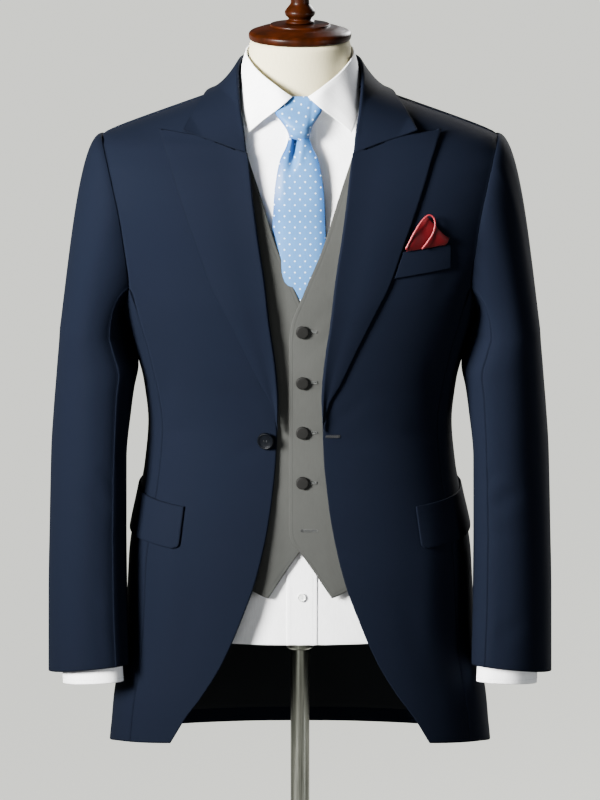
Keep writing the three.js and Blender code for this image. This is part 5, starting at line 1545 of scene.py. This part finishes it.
def make_shirt_body():
    """The shirt's fronts, its back and its placket."""
    for tag, side in SIDES:
        levels = SHIRT_LEVELS[:, None]
        s = np.linspace(0, 1, 44)[None, :]
        neck = np.where(levels > 1436, shirt_neck(levels), 0.0)
        start = shirt.front_angle(neck, levels)
        end = shirt_reach(levels, shirt.front_angle)
        angle = start + (end - start) * s
        ripple = 0.5 * np.sin(np.radians(angle) * 9 + side) * smooth(930 - levels, 0, 60)
        points, normals = shirt.at(side * angle, np.broadcast_to(levels, angle.shape), ripple)
        points = trim_sides(points, SEAM / 2, SEAM, 0, 0.6)
        cloth(f"shirt_front_{tag}", points, normals, 1.0, looks.white())
    levels = SHIRT_LEVELS[:, None]
    s = np.linspace(0, 1, 90)[None, :]
    start = shirt_reach(levels, shirt.back_angle)
    angle = start + (360 - 2 * start) * s
    points, normals = shirt.at(angle, np.broadcast_to(levels, angle.shape))
    points = trim_sides(points, SEAM, SEAM, 0, 0.6)
    cloth("shirt_back", points, normals, 1.0, looks.white())
    z = levels_between([SHIRT_HEM_Z + 0.2, 975, 1215, 1428], 100)[:, None]
    x = np.linspace(-15.5, 19.5, 16)[None, :]
    points, normals = shirt.at_front(x, z, 1.35)
    cloth("shirt_placket", points, normals, 1.0, looks.white())


def shirt_armpit(share):
    """The angle and the height along the low part of the shirt's armhole, front to back."""
    corner = shirt.front_angle(shirt_arm(CHEST_Z), CHEST_Z)
    return corner + (180 - 2 * corner) * share, 1238 + 7 * np.abs(2 * share - 1) ** 2


def make_shirt_sleeves():
    """The shirt's sleeves and the cuffs that show below the coat's."""
    read, cuff_read = sleeve_reader(SHIRT_SLEEVE), sleeve_reader(SHIRT_CUFF)
    height = curve({"q": np.arange(1, 8.0), "z": np.array([1396, 1382, 1358, 1330, 1300, 1270, 1245.0])},
                   "q", "z")
    q = np.linspace(0, 18, 97)[:-1]
    ring = crown_ring(shirt, shirt_arm, 1404, height, shirt_armpit, q, 6) + np.array([1.2, 0, 0])
    angle = crown_turn(q)[1]
    turn = np.radians(angle)
    cosine = np.cos(turn)
    first = sleeve_ring(read, np.full(len(q), SHIRT_SLEEVE_TOP_Z), angle)
    swing = CROWN_SWING * np.maximum(cosine, 0) + 2.5 * np.maximum(-cosine, 0)
    crown = crown_grid(ring, first, turn, np.arange(16) / 16, np.full(len(q), SHIRT_BOW), swing)
    lower = sleeve_ring(read, np.linspace(SHIRT_SLEEVE_TOP_Z, 834, 40)[:, None], angle[None, :])
    cuff = sleeve_ring(cuff_read, np.linspace(833.6, 780, 16)[:, None], np.linspace(0, 360, 121)[None, :-1])
    for tag, side in SIDES:
        for node, grid, part_read, wall in (
                (f"shirt_sleeve_{tag}", np.concatenate([crown, lower]), read, 1.0),
                (f"shirt_cuff_{tag}", cuff.copy(), cuff_read, 1.6)):
            grid[..., 0] *= side
            normals = grid_normals(grid, True, sleeve_axis(part_read, side, SHIRT_SLEEVE_TOP_Z))
            cloth(node, grid, normals, wall, looks.white(), wrap=True)


SHIRT_COLLAR_COLUMNS = 160


def make_shirt_collar():
    """The shirt's turned-down leaf and the stand under it."""
    fold, edge = collar_lines(SHIRT_COLLAR, SHIRT_COLLAR_COLUMNS)
    v = np.linspace(0, 1, 22)[:, None]
    leaf = fold[None] + (edge - fold)[None] * v[..., None]
    bulge = 1 + 0.016 * np.sin(v * np.pi)
    leaf[..., :2] *= bulge[..., None]
    # The leaves ride up over the knot at the front
    over = np.where(leaf[..., 1] < 0, np.exp(-((np.abs(leaf[..., 0]) - 18) / 17) ** 2), 0)
    leaf[..., 1] -= 8.5 * over * smooth(v, -0.2, 0.1)
    normals = grid_normals(leaf, False, lambda p: round_collar_away(p, NO_TOP))
    points, normals, wall = fold_rolled(leaf, normals, 1.1, 140, 6, 1.2, 0.75)
    cloth("shirt_collar_leaf", points, normals, wall, looks.white())
    foot_angle, foot_z = both_halves(SHIRT_COLLAR["foot_angle"], -1), both_halves(SHIRT_COLLAR["foot_z"])
    foot = shirt.at(foot_angle, foot_z - 3.5, 0.5)[0]
    stand = stand_grid(stations(SHIRT_COLLAR, FOLD), foot, 2.1, 1.6, 140, 14)
    normals = grid_normals(stand, False, lambda p: round_collar_away(p, NO_TOP))
    cloth("shirt_collar_stand", stand, normals, 1.0, looks.white())


# Tie
# The knot's left and right reach, its front, and where its sides and its back lie, from the bottom up
KNOT_SHAPE = table("z left right front side back", [
    (1420, 11.6, 10.6, 97.5, 89, 84), (1424, 12.6, 11.4, 100, 89, 84), (1428, 14, 12.4, 101.8, 88.5, 83),
    (1434, 17.5, 14, 102, 87, 81), (1441, 23, 19, 98, 82.5, 78), (1446, 27, 22.5, 92.5, 79.5, 75.5),
    (1450, 28.5, 24.5, 87, 76.8, 74.2),
    (1456, 27, 25, 80.5, 74.6, 73), (1461, 24, 23, 77.2, 73.6, 72), (1466, 18, 17, 74.8, 73, 71.6),
])


KNOT_Z, KNOT_TOP_Z = 1420, 1466


def planar_uv(mesh, places, turned=0.0):
    """UV in metres straight across and up, turned by some degrees."""
    turn = math.radians(turned)
    u = np.where(places[:, 1] < -60, places[:, 0], -places[:, 0]) * MM
    v = places[:, 2] * MM
    uv = np.stack([u * math.cos(turn) + v * math.sin(turn), v * math.cos(turn) - u * math.sin(turn)], -1)
    set_uv(mesh, uv)


def make_blade():
    """The tie's blade, with its dimple below the knot."""
    half, lift = curve(TIE_BLADE, "z", "half"), curve(TIE_BLADE, "z", "lift")
    z = levels_between([1046, 1079, 1245, 1347, 1399, 1423.4], 120)[:, None]
    s = np.linspace(-1, 1, 61)[None, :]
    crown = 4 * (1 - np.abs(s) ** 2.8) * smooth(z, 1205, 1290)
    points = shirt.at_front(s * half(z) - 1, z)[0]
    x = s * half(z) - 1
    dimple = smooth(z, 1384, 1408)
    middle = -4 - (1423 - z) * 0.17
    trough = 10 * dimple * np.exp(-((x - middle) / (2.9 + 0.04 * (1423 - z))) ** 2)
    ridge = 1.8 * dimple * np.exp(-((x - middle - 8) / 4.5) ** 2)
    drape = 1.0 * smooth(z, 1330, 1395) * np.exp(-((x + 19) / 5) ** 2)
    points[..., 1] -= lift(z) + crown - trough + ridge + drape
    normals = grid_normals(points, False, lambda p: p * np.array([1, 0, 1]))
    piece = cloth("tie_blade", points, normals, 1.6, looks.silk())
    places = np.empty(len(piece.data.vertices) * 3)
    piece.data.vertices.foreach_get("co", places)
    planar_uv(piece.data, places.reshape(-1, 3) / MM)


def make_knot():
    """The tie's knot, pinched at both ends."""
    z = levels_between([KNOT_Z, 1428, 1455, KNOT_TOP_Z], 60)[:, None]
    turn = np.linspace(0, 2 * np.pi, 121)[None, :-1]
    read = {name: curve(KNOT_SHAPE, "z", name) for name in KNOT_SHAPE if name != "z"}
    share = (z - KNOT_Z) / (KNOT_TOP_Z - KNOT_Z)
    close = np.sqrt(np.clip(np.minimum(share, 1 - share) / 0.05, 0, 1)) * 0.35 + 0.65
    sine, cosine = np.sin(turn), np.cos(turn)
    reach = np.where(sine > 0, read["right"](z), read["left"](z)) * close
    across = np.sign(sine) * np.abs(sine) ** 0.8
    fold = 1.1 * np.exp(-((across * reach - 9 + share * -6) / 2.6) ** 2) * smooth(share, 0.15, 0.5)
    beside = read["side"](z)
    ahead = read["front"](z) * (0.97 + 0.03 * close) - beside
    front = beside + ahead * np.abs(cosine) ** 0.9 - fold
    behind = beside + (read["back"](z) - beside) * np.abs(cosine) ** 0.8
    y = -np.where(cosine > 0, front, behind)
    points = np.stack(np.broadcast_arrays(reach * across, y, z), -1)
    mesh, places = closed_loft("tie_knot", points)
    planar_uv(mesh, places, 24)
    # Painted shade on the knot: its edge distance falls toward the sides and the pinched ends, so the silk's
    # darker edge colour shows there
    set_inset(mesh, np.append((reach * (1 - np.abs(across) ** 2)).reshape(-1), [0, 0]))
    place_piece("tie_knot_silk", mesh, looks.silk(), ["tie_knot"])


def closed_loft(name, points):
    """A smooth closed mesh through stacked rings, with a fan at each end. Also returns its points."""
    rows, around = points.shape[:2]
    grid, faces = ring_quads(rows, around)
    flat = points.reshape(-1, 3)
    places = np.concatenate([flat, [flat[grid[0]].mean(0), flat[grid[-1]].mean(0)]])
    for ring, centre in ((grid[0], len(flat)), (grid[-1], len(flat) + 1)):
        faces += [[int(ring[j]), int(ring[(j + 1) % around]), centre] for j in range(around)]
    mesh = bpy.data.meshes.new(name)
    mesh.from_pydata((places * MM).tolist(), [], faces)
    recalculate(mesh)
    mesh.polygons.foreach_set("use_smooth", np.ones(len(mesh.polygons), bool))
    set_inset(mesh, np.full(len(places), 60))
    return mesh, places


def recalculate(mesh):
    """Turns a closed mesh's faces to one side, outward."""
    work = bmesh.new()
    work.from_mesh(mesh)
    bmesh.ops.recalc_face_normals(work, faces=work.faces)
    work.to_mesh(mesh)
    work.free()
    if signed_volume(mesh) < 0:
        mesh.flip_normals()


# Dress form and stand
def make_form():
    """The jersey torso of the dress form."""
    z = levels_between([FORM_BOTTOM_Z, 1045, 1245, 1345, 1397, 1430, 1463, FORM_TOP_Z], 120)[:, None]
    turn = np.linspace(0, 360, 129)[None, :-1]
    points = form.point(turn, z)
    foot_ease = np.clip(1 - (z - FORM_BOTTOM_Z) / 5, 0, 1) ** 2
    top_ease = np.clip(1 - (FORM_TOP_Z - z) / 3, 0, 1) ** 2
    points[..., :2] *= (1 - 0.02 * foot_ease - 0.02 * top_ease)[..., None]
    mesh, places = closed_loft("form_torso", points)
    angle = np.arctan2(places[:, 0], -places[:, 1])
    set_uv(mesh, np.stack([angle * 90, places[:, 2]], -1) * MM)
    place_piece("form_torso_jersey", mesh, looks.jersey(), ["form_torso"])


def make_stand():
    """The form's wooden cap and finial, and its steel socket, pole and base."""
    turned("form_cap", [(0, CAP_Z), (57, CAP_Z), (58.5, CAP_Z + 3), (58.5, CAP_Z + 7.5), (56, CAP_Z + 10),
                        (44, CAP_Z + 14), (34, CAP_Z + 16), (34, CAP_Z + 18), (0, CAP_Z + 19)],
           looks.wood(), "turned_wood", 1.6, 96)
    foot = CAP_Z + 19.3
    rows = [(0, 0), (16, 0), (16.5, 2), (12, 4.5), (17, 9), (17.6, 13), (14, 18), (10.5, 22), (11, 40),
            (15, 52), (16, 62), (11, 71), (0, 74)]
    turned("form_finial", [(r, foot + h) for r, h in rows], looks.wood(), "turned_wood", 4, 64)
    neck = FORM_BOTTOM_Z - SEAM
    turned("stand_socket", [(0, neck), (24, neck), (24, neck - 6), (16, neck - 9), (16, neck - 34),
                            (14, neck - 36), (0, neck - 36)], looks.steel(), "stand_steel", 0.9, 64)
    top = neck - 36 - SEAM
    turned("stand_pole", [(0, 40.3), (11, 40.3), (11, top), (0, top)], looks.steel(), "stand_steel", 0.6, 64)
    turned("stand_base", [(0, 0), (178, 0), (180, 2), (180, 10), (174, 14), (26, 18), (18, 22), (18, 40),
                          (0, 40)], looks.dark_steel(), "stand_steel", 2.4, 160)


def turned(node, profile, material, slot, ease, around):
    """A turned piece for its node, from (radius, height) pairs with eased corners."""
    place_piece(node + "_turned", lathe_mesh(node, rounded(profile, ease, 4), around), material, [node])


# Buttons
def button_shape(name, radius, thick, kind):
    """One button lying on the XY plane, its face up: domed if it is covered, else dished."""
    if kind == "covered":
        profile = [(0, 0.2), (radius * 0.84, 0.2), (radius * 0.98, thick * 0.34), (radius, thick * 0.55),
                   (radius * 0.95, thick * 0.86), (radius * 0.8, thick), (radius * 0.4, thick * 1.02),
                   (0, thick * 1.03)]
        return shape_object(name, lathe_mesh(name, rounded(profile, 0.5, 3), 56))
    profile = [(0, 0), (radius * 0.85, 0), (radius, thick * 0.42), (radius * 0.98, thick * 0.72),
               (radius * 0.88, thick), (radius * 0.76, thick * 0.93), (radius * 0.68, thick * 0.72),
               (radius * 0.3, thick * 0.66), (0, thick * 0.66)]
    return shape_object(name, lathe_mesh(name, rounded(profile, 0.35, 3), 56))


def thread_shape(name, reach, height):
    """A button's sewing: two short bars of thread side by side over its holes."""
    bars = []
    for y in (-reach, reach):
        path = [(-reach, y, height - 0.3), (-reach * 0.5, y, height + 0.25),
                (reach * 0.5, y, height + 0.25), (reach, y, height - 0.3)]
        bars.append(tube_mesh(name, path, reach * 0.3, 8))
    return shape_object(name, join_meshes(name, bars))


# Where the buttons lie: (x, z) on a front, (angle, z) on the coat's back and on a sleeve
WAISTCOAT_BUTTON_X, WAISTCOAT_BUTTON_Z = 2.8, (1205.0, 1145.0, 1086.0, 1028.0)
COAT_BUTTON = (-38.4, 1077.5)
BACK_BUTTON = (152.0, 1062.0)
SHIRT_BUTTON = (2.0, 893.0)
CUFF_BUTTON_ANGLE, CUFF_BUTTON_Z = 297.0, (806.0, 819.0, 832.0)


def cuff_places():
    """The left cuff's buttons: where each lies and which way it faces."""
    read = sleeve_reader(SLEEVE)
    places = []
    for z in CUFF_BUTTON_Z:
        low = sleeve_ring(read, np.full(1, z), np.array([CUFF_BUTTON_ANGLE]))[0]
        high = sleeve_ring(read, np.full(1, z + 4), np.array([CUFF_BUTTON_ANGLE]))[0]
        near = sleeve_ring(read, np.full(1, z), np.array([CUFF_BUTTON_ANGLE + 3]))[0]
        normal = unit(np.cross(near - low, high - low))
        if normal @ (low - np.array([240, -45, z])) < 0:
            normal = -normal
        places.append((low + normal * 0.6, normal))
    return places


def sew_on(name, places, along, shape, material, nodes):
    """Puts one shape on each (point, normal) place, all the same size."""
    points, normals = zip(*places)
    instanced(name, points, normals, along, shape, material, nodes, 0.0)


def make_buttons():
    """Every button, with the thread that sews it on."""
    up, across = (0, 0, 1), (1, 0, 0)
    places = [[part.reshape(3) for part in waistcoat.at_front(WAISTCOAT_BUTTON_X, z, 0.35)]
              for z in WAISTCOAT_BUTTON_Z]
    sew_on("waistcoat_buttons", places, across, button_shape("covered button", 7.5, 3.6, "covered"),
           looks.covered(), [f"waistcoat_button_{i}" for i in range(1, 5)])
    front = coat.at_front(*COAT_BUTTON, 0.8)
    angle, z = BACK_BUTTON
    backs = [coat.at(side * angle, z, 0.9) for _, side in SIDES]
    coat_places = [(p.reshape(3), n.reshape(3)) for p, n in [front, *backs]]
    # The front button hangs a little turned on its thread
    coat_places[0] = (coat_places[0][0] + [0, -1.2, 0], unit(coat_places[0][1] + [-0.26, 0, -0.06]))
    sew_on("coat_buttons", coat_places, up, button_shape("horn button", 10, 4, "horn"), looks.horn(),
           ["coat_front_button", "coat_back_button_r", "coat_back_button_l"])
    cuffs = [(point * [side, 1, 1], normal * [side, 1, 1]) for _, side in SIDES
             for point, normal in cuff_places()]
    sew_on("coat_cuff_buttons", cuffs, up, button_shape("cuff button", 6.5, 3, "horn"), looks.horn(),
           [f"coat_cuff_button_{tag}{i}" for tag, _ in SIDES for i in (1, 2, 3)])
    pearl = [tuple(part.reshape(3) for part in shirt.at_front(*SHIRT_BUTTON, 1.8))]
    sew_on("shirt_buttons", pearl, across, button_shape("shirt button", 5, 2.2, "horn"), looks.pearl(),
           ["shirt_button"])
    navy, white = looks.thread("Navy thread", "07090e"), looks.thread("White thread", "e4e8e8")
    for name, spots, along, reach, height, look, slot in (
            ("coat_button_sewing", coat_places, up, 1.7, 2.66, navy, "navy_wool"),
            ("cuff_button_sewing", cuffs, up, 1.2, 2.0, navy, "navy_wool"),
            ("shirt_button_sewing", pearl, across, 0.9, 1.45, white, "white_cotton")):
        sew_on(name, spots, along, thread_shape(name + " shape", reach, height), look, [])


# Stitching
def stitch_shape(name, length, width):
    """A short round-ended thread along X, half sunk in the cloth."""
    t = np.linspace(-1, 1, 5)
    path = np.stack([t * length / 2, 0 * t, width * 0.25 * (1 - t * t)], -1)
    return shape_object(name, tube_mesh(name, path, width / 2, 6))


def along_path(points, normals, pitch):
    """Evenly spaced points of a path, each with its normal and its direction."""
    points, normals = np.array(points, float), np.array(normals, float)
    length = np.concatenate([[0], np.cumsum(np.linalg.norm(np.diff(points, axis=0), axis=1))])
    wanted = np.arange(pitch / 2, length[-1], pitch)
    place, facing = (np.stack([np.interp(wanted, length, column) for column in values.T], -1)
                     for values in (points, normals))
    return place, unit(facing), unit(np.gradient(place, axis=0))


def buttonhole(layer, x0, x1, z, lift):
    """Close stitches round a worked hole from x0 to x1: its rim as points, facing and direction."""
    half = 0.95
    turn = np.linspace(0, 2 * np.pi, 60, endpoint=False)
    middle, reach = (x0 + x1) / 2, (x1 - x0) / 2
    x = middle + np.clip(np.cos(turn) * 1.35, -1, 1) * reach
    height = z + half * np.clip(np.sin(turn) * 1.8, -1, 1)
    points, normals = layer.at_front(x, height, lift)
    closed = np.concatenate([points, points[:1]]), np.concatenate([normals, normals[:1]])
    return along_path(*closed, 0.62)


COAT_HOLE_Z = 1082.0
OPEN_HOLE_Z = 972.5


def make_stitching():
    """The worked buttonholes and the visible rows of stitches."""
    shape = stitch_shape("hole stitch", 1.6, 0.5)
    points, facing, along = buttonhole(coat, 29.5, 45, COAT_HOLE_Z, 0.15)
    instanced("coat_buttonhole", points, facing, np.cross(facing, along), shape,
              looks.thread("Navy twist", "07090e"), [])
    holes = [buttonhole(waistcoat, 2.0, x1, z, 0.1)
             for x1, z in zip((19.0, 19.0, 19.0, 18.6), WAISTCOAT_BUTTON_Z)]
    holes.append(buttonhole(waistcoat, 1.6, 20.0, OPEN_HOLE_Z, 0.1))
    points, facing, along = (np.concatenate(parts) for parts in zip(*holes))
    instanced("waistcoat_buttonholes", points, facing, np.cross(facing, along), shape,
              looks.thread("Grey twist", "444645"), [])
    make_slots()
    make_edge_stitches()


def make_slots():
    """Near-black tubes in the slits of the open buttonholes and the eyelet at the fifth one's end: painted
    shade for the open cuts.
    """
    meshes = []
    for layer, x0, x1, z in ((coat, 30.4, 44.2, COAT_HOLE_Z), (waistcoat, 2.6, 19.2, OPEN_HOLE_Z)):
        x = np.linspace(x0, x1, 24)
        meshes.append(tube_mesh("slot", layer.at_front(x, np.full(24, z), 0.1)[0], 0.42, 8))
    turn = np.linspace(0, 2 * np.pi, 24)
    x, z = 2.3 + 1.1 * np.cos(turn), OPEN_HOLE_Z + 1.1 * np.sin(turn)
    meshes.append(tube_mesh("eyelet", waistcoat.at_front(x, z, 0.1)[0], 0.7, 8))
    slits = join_meshes("buttonhole_slits", meshes)
    # Painted shade: the near-black tubes stand for the shade inside the cut slits and the eyelet
    place_piece("buttonhole_slits", slits, looks.thread("Slit painted shade", "050608"), [])


def make_edge_stitches():
    """Sews the shirt's collar, placket and cuffs along their edges."""
    shape = stitch_shape("fine stitch", 1.7, 0.4)
    fold, edge = collar_lines(SHIRT_COLLAR, SHIRT_COLLAR_COLUMNS)
    outward = unit(edge * [1, 1, 0])
    rows = [(edge - unit(edge - fold) * 5.5 + outward * 0.35, outward)]
    for x in (-10.5, 14.5):
        z = np.linspace(842, 1420, 260)
        rows.append(shirt.at_front(np.full(260, x), z, 1.45))
    read = sleeve_reader(SHIRT_CUFF)
    ring = sleeve_ring(read, np.full(140, 785.5), np.linspace(0, 360, 140))
    outside = unit((ring - np.array([240, -52, 785.5])) * [1, 1, 0])
    for _, side in SIDES:
        rows.append(((ring + outside * 0.1) * [side, 1, 1], outside * [side, 1, 1]))
    parts = [along_path(points, normals, 2.6) for points, normals in rows]
    points, facing, along = (np.concatenate(column) for column in zip(*parts))
    instanced("shirt_stitching", points, facing, along, shape, looks.thread("White twist", "cfd4d6"), [])


# Stage
# Half the floor's side, and the camera's distance, aim and frame, in metres
FLOOR = 60.0
CAMERA_DISTANCE = 8.0
CAMERA_AIM_Z = 1.1
FRAME_HEIGHT = 0.92
FILM_SIZE = 36
# Each lamp's place, aim, size, power, colour and spread in degrees
LIGHTS = [
    ("key", (-3.45, -2.9, 2.8), (0, 0, 1.6), (1.7, 1.7), 120, (1.0, 0.99, 0.97), 36),
    ("front", (-1.2, -5.2, 1.7), (0, 0, 1.35), (1.6, 1.6), 2.6, (1.0, 1.0, 1.0), 50),
    ("rim", (3.4, -2.4, 1.4), (0, 0, 1.2), (0.8, 2.0), 6, (0.93, 0.96, 1.0), 60),
    ("back", (1.8, 4.2, 2.6), (0, 0, 1.1), (1.8, 1.8), 30, (1.0, 1.0, 1.0), 50),
]


def make_stage(settings):
    """The floor, the lamps, the light from all round and the camera."""
    scene = bpy.context.scene
    staged = [make_floor(settings.backdrop)]
    scene.collection.objects.link(staged[0])
    for name, place, target, size, power, colour, spread in LIGHTS:
        lamp = bpy.data.lights.new(name, "AREA")
        lamp.shape, lamp.size, lamp.size_y = "RECTANGLE", size[0], size[1]
        lamp.energy, lamp.color, lamp.spread = power * settings.light, colour, math.radians(spread)
        holder = bpy.data.objects.new(name, lamp)
        holder.location = place
        aim = Vector(target) - Vector(place)
        holder.rotation_euler = aim.to_track_quat("-Z", "Y").to_euler()
        scene.collection.objects.link(holder)
        staged.append(holder)
    world = bpy.data.worlds.new("Studio")
    world.use_nodes = True
    world.node_tree.nodes["Background"].inputs[0].default_value = (0.9, 0.93, 1.0, 1.0)
    world.node_tree.nodes["Background"].inputs[1].default_value = settings.ambient
    scene.world = world
    camera_data = bpy.data.cameras.new("photo")
    camera_data.sensor_width = FILM_SIZE
    camera_data.sensor_fit = "AUTO"
    camera_data.lens = FILM_SIZE * CAMERA_DISTANCE / FRAME_HEIGHT
    camera_data.clip_end = 60
    camera = bpy.data.objects.new("photo", camera_data)
    tilt = math.radians(settings.elevation)
    camera.location = (0, -CAMERA_DISTANCE * math.cos(tilt), CAMERA_AIM_Z + CAMERA_DISTANCE * math.sin(tilt))
    camera.rotation_euler = (math.pi / 2 - tilt, 0, 0)
    scene.collection.objects.link(camera)
    scene.camera = camera


def make_floor(backdrop):
    """A wide pale floor that glows evenly for the camera and, less, in what is glossy."""
    mesh = bpy.data.meshes.new("floor")
    corners = [(x * FLOOR, y * FLOOR, 0) for x, y in ((-1, -1), (1, -1), (1, 1), (-1, 1))]
    mesh.from_pydata(corners, [], [(0, 1, 2, 3)])
    material = bpy.data.materials.new("Pale floor")
    material.use_nodes = True
    graph = Graph(material.node_tree)
    shader = material.node_tree.nodes["Principled BSDF"]
    shader.inputs["Base Color"].default_value = (*(0.3 * part for part in backdrop), 1.0)
    shader.inputs["Roughness"].default_value = 0.95
    shader.inputs["Specular IOR Level"].default_value = 0.0
    shader.inputs["Emission Color"].default_value = (*backdrop, 1.0)
    path = graph.node("ShaderNodeLightPath")
    mirrored_share = graph.math("MULTIPLY", path.outputs["Is Glossy Ray"], 0.7)
    graph.link(graph.math("MAXIMUM", path.outputs["Is Camera Ray"], mirrored_share),
               shader.inputs["Emission Strength"])
    mesh.materials.append(material)
    return bpy.data.objects.new("floor", mesh)


# Add-on
class ClothSettings(bpy.types.PropertyGroup):
    """How the cloth hangs."""

    coat_creases: FloatProperty(name="Coat creases", description="Depth of the coat's creases as a share",
                                default=1.0, min=0.0, max=2.0, subtype="FACTOR")
    waistcoat_creases: FloatProperty(name="Waistcoat creases",
                                     description="Depth of the waistcoat's creases as a share",
                                     default=1.7, min=0.0, max=3.0, subtype="FACTOR")


class StudioSettings(bpy.types.PropertyGroup):
    """Light, backdrop and camera."""

    light: FloatProperty(name="Light", description="Share of each lamp's power", default=1.0, min=0.0,
                         max=10.0, subtype="FACTOR")
    ambient: FloatProperty(name="Ambient", description="Strength of the light from all round", default=0.08,
                           min=0.0, max=5.0, subtype="FACTOR")
    backdrop: FloatVectorProperty(name="Backdrop", description="Light that the floor shows",
                                  default=(1.15, 1.16, 1.07), size=3, min=0.0, max=2.0, subtype="COLOR")
    elevation: FloatProperty(name="Camera height", description="Degrees that the camera looks down by",
                             default=12.0, min=-10.0, max=60.0)


class SUIT_OT_coat_body(bpy.types.Operator):
    """Makes the coat's foreparts, side bodies, backs and tail lining"""

    bl_idname = "suit.coat_body"
    bl_label = "Coat body"

    def execute(self, context):
        make_foreparts()
        make_side_bodies()
        make_backs()
        make_tail_lining()
        return {"FINISHED"}


class SUIT_OT_coat_sleeves(bpy.types.Operator):
    """Makes the coat's top and under sleeves"""

    bl_idname = "suit.coat_sleeves"
    bl_label = "Coat sleeves"

    def execute(self, context):
        make_sleeves(context.scene.suit_cloth.coat_creases)
        return {"FINISHED"}


class SUIT_OT_coat_trim(bpy.types.Operator):
    """Makes the lapels, the collar, the flaps, the breast welt and the pocket square"""

    bl_idname = "suit.coat_trim"
    bl_label = "Lapels, collar and pockets"

    def execute(self, context):
        make_lapels()
        make_collar()
        make_pockets()
        return {"FINISHED"}


class SUIT_OT_waistcoat(bpy.types.Operator):
    """Makes the waistcoat's fronts and back"""

    bl_idname = "suit.waistcoat"
    bl_label = "Waistcoat"

    def execute(self, context):
        make_waistcoat_fronts(context.scene.suit_cloth.waistcoat_creases)
        make_waistcoat_back()
        return {"FINISHED"}


class SUIT_OT_shirt(bpy.types.Operator):
    """Makes the shirt's body, sleeves, cuffs and collar"""

    bl_idname = "suit.shirt"
    bl_label = "Shirt"

    def execute(self, context):
        make_shirt_body()
        make_shirt_sleeves()
        make_shirt_collar()
        return {"FINISHED"}


class SUIT_OT_tie(bpy.types.Operator):
    """Makes the tie's blade and knot"""

    bl_idname = "suit.tie"
    bl_label = "Tie"

    def execute(self, context):
        make_blade()
        make_knot()
        return {"FINISHED"}


class SUIT_OT_form(bpy.types.Operator):
    """Makes the dress form and its stand"""

    bl_idname = "suit.form"
    bl_label = "Dress form"

    def execute(self, context):
        make_form()
        make_stand()
        return {"FINISHED"}


class SUIT_OT_buttons(bpy.types.Operator):
    """Puts the buttons on the coat, the waistcoat and the shirt"""

    bl_idname = "suit.buttons"
    bl_label = "Buttons"

    def execute(self, context):
        make_buttons()
        return {"FINISHED"}


class SUIT_OT_stitching(bpy.types.Operator):
    """Works the buttonholes and sews the visible seams"""

    bl_idname = "suit.stitching"
    bl_label = "Stitching"

    def execute(self, context):
        make_stitching()
        return {"FINISHED"}


class SUIT_OT_stage(bpy.types.Operator):
    """Sets the backdrop, the lamps and the camera"""

    bl_idname = "suit.stage"
    bl_label = "Studio"

    def execute(self, context):
        make_stage(context.scene.suit_studio)
        return {"FINISHED"}


OPERATORS = [SUIT_OT_form, SUIT_OT_shirt, SUIT_OT_tie, SUIT_OT_waistcoat, SUIT_OT_coat_body,
             SUIT_OT_coat_sleeves, SUIT_OT_coat_trim, SUIT_OT_buttons, SUIT_OT_stitching, SUIT_OT_stage]


class SUIT_PT_panel(bpy.types.Panel):
    """Lists the steps and their settings"""

    bl_label = "Morning suit"
    bl_idname = "SUIT_PT_panel"
    bl_space_type = "VIEW_3D"
    bl_region_type = "UI"
    bl_category = "Suit"

    def draw(self, context):
        for group in (context.scene.suit_cloth, context.scene.suit_studio):
            for name in group.__annotations__:
                self.layout.prop(group, name)
        for operator in OPERATORS:
            self.layout.operator(operator.bl_idname)


CLASSES = [ClothSettings, StudioSettings, *OPERATORS, SUIT_PT_panel]


def register():
    for item in CLASSES:
        bpy.utils.register_class(item)
    bpy.types.Scene.suit_cloth = PointerProperty(type=ClothSettings)
    bpy.types.Scene.suit_studio = PointerProperty(type=StudioSettings)


def unregister():
    del bpy.types.Scene.suit_studio
    del bpy.types.Scene.suit_cloth
    for item in reversed(CLASSES):
        bpy.utils.unregister_class(item)


def main():
    register()
    for operator in OPERATORS:
        category, name = operator.bl_idname.split(".")
        if getattr(getattr(bpy.ops, category), name)() != {"FINISHED"}:
            raise RuntimeError(operator.bl_label + " failed")


if __name__ == "__main__":
    main()
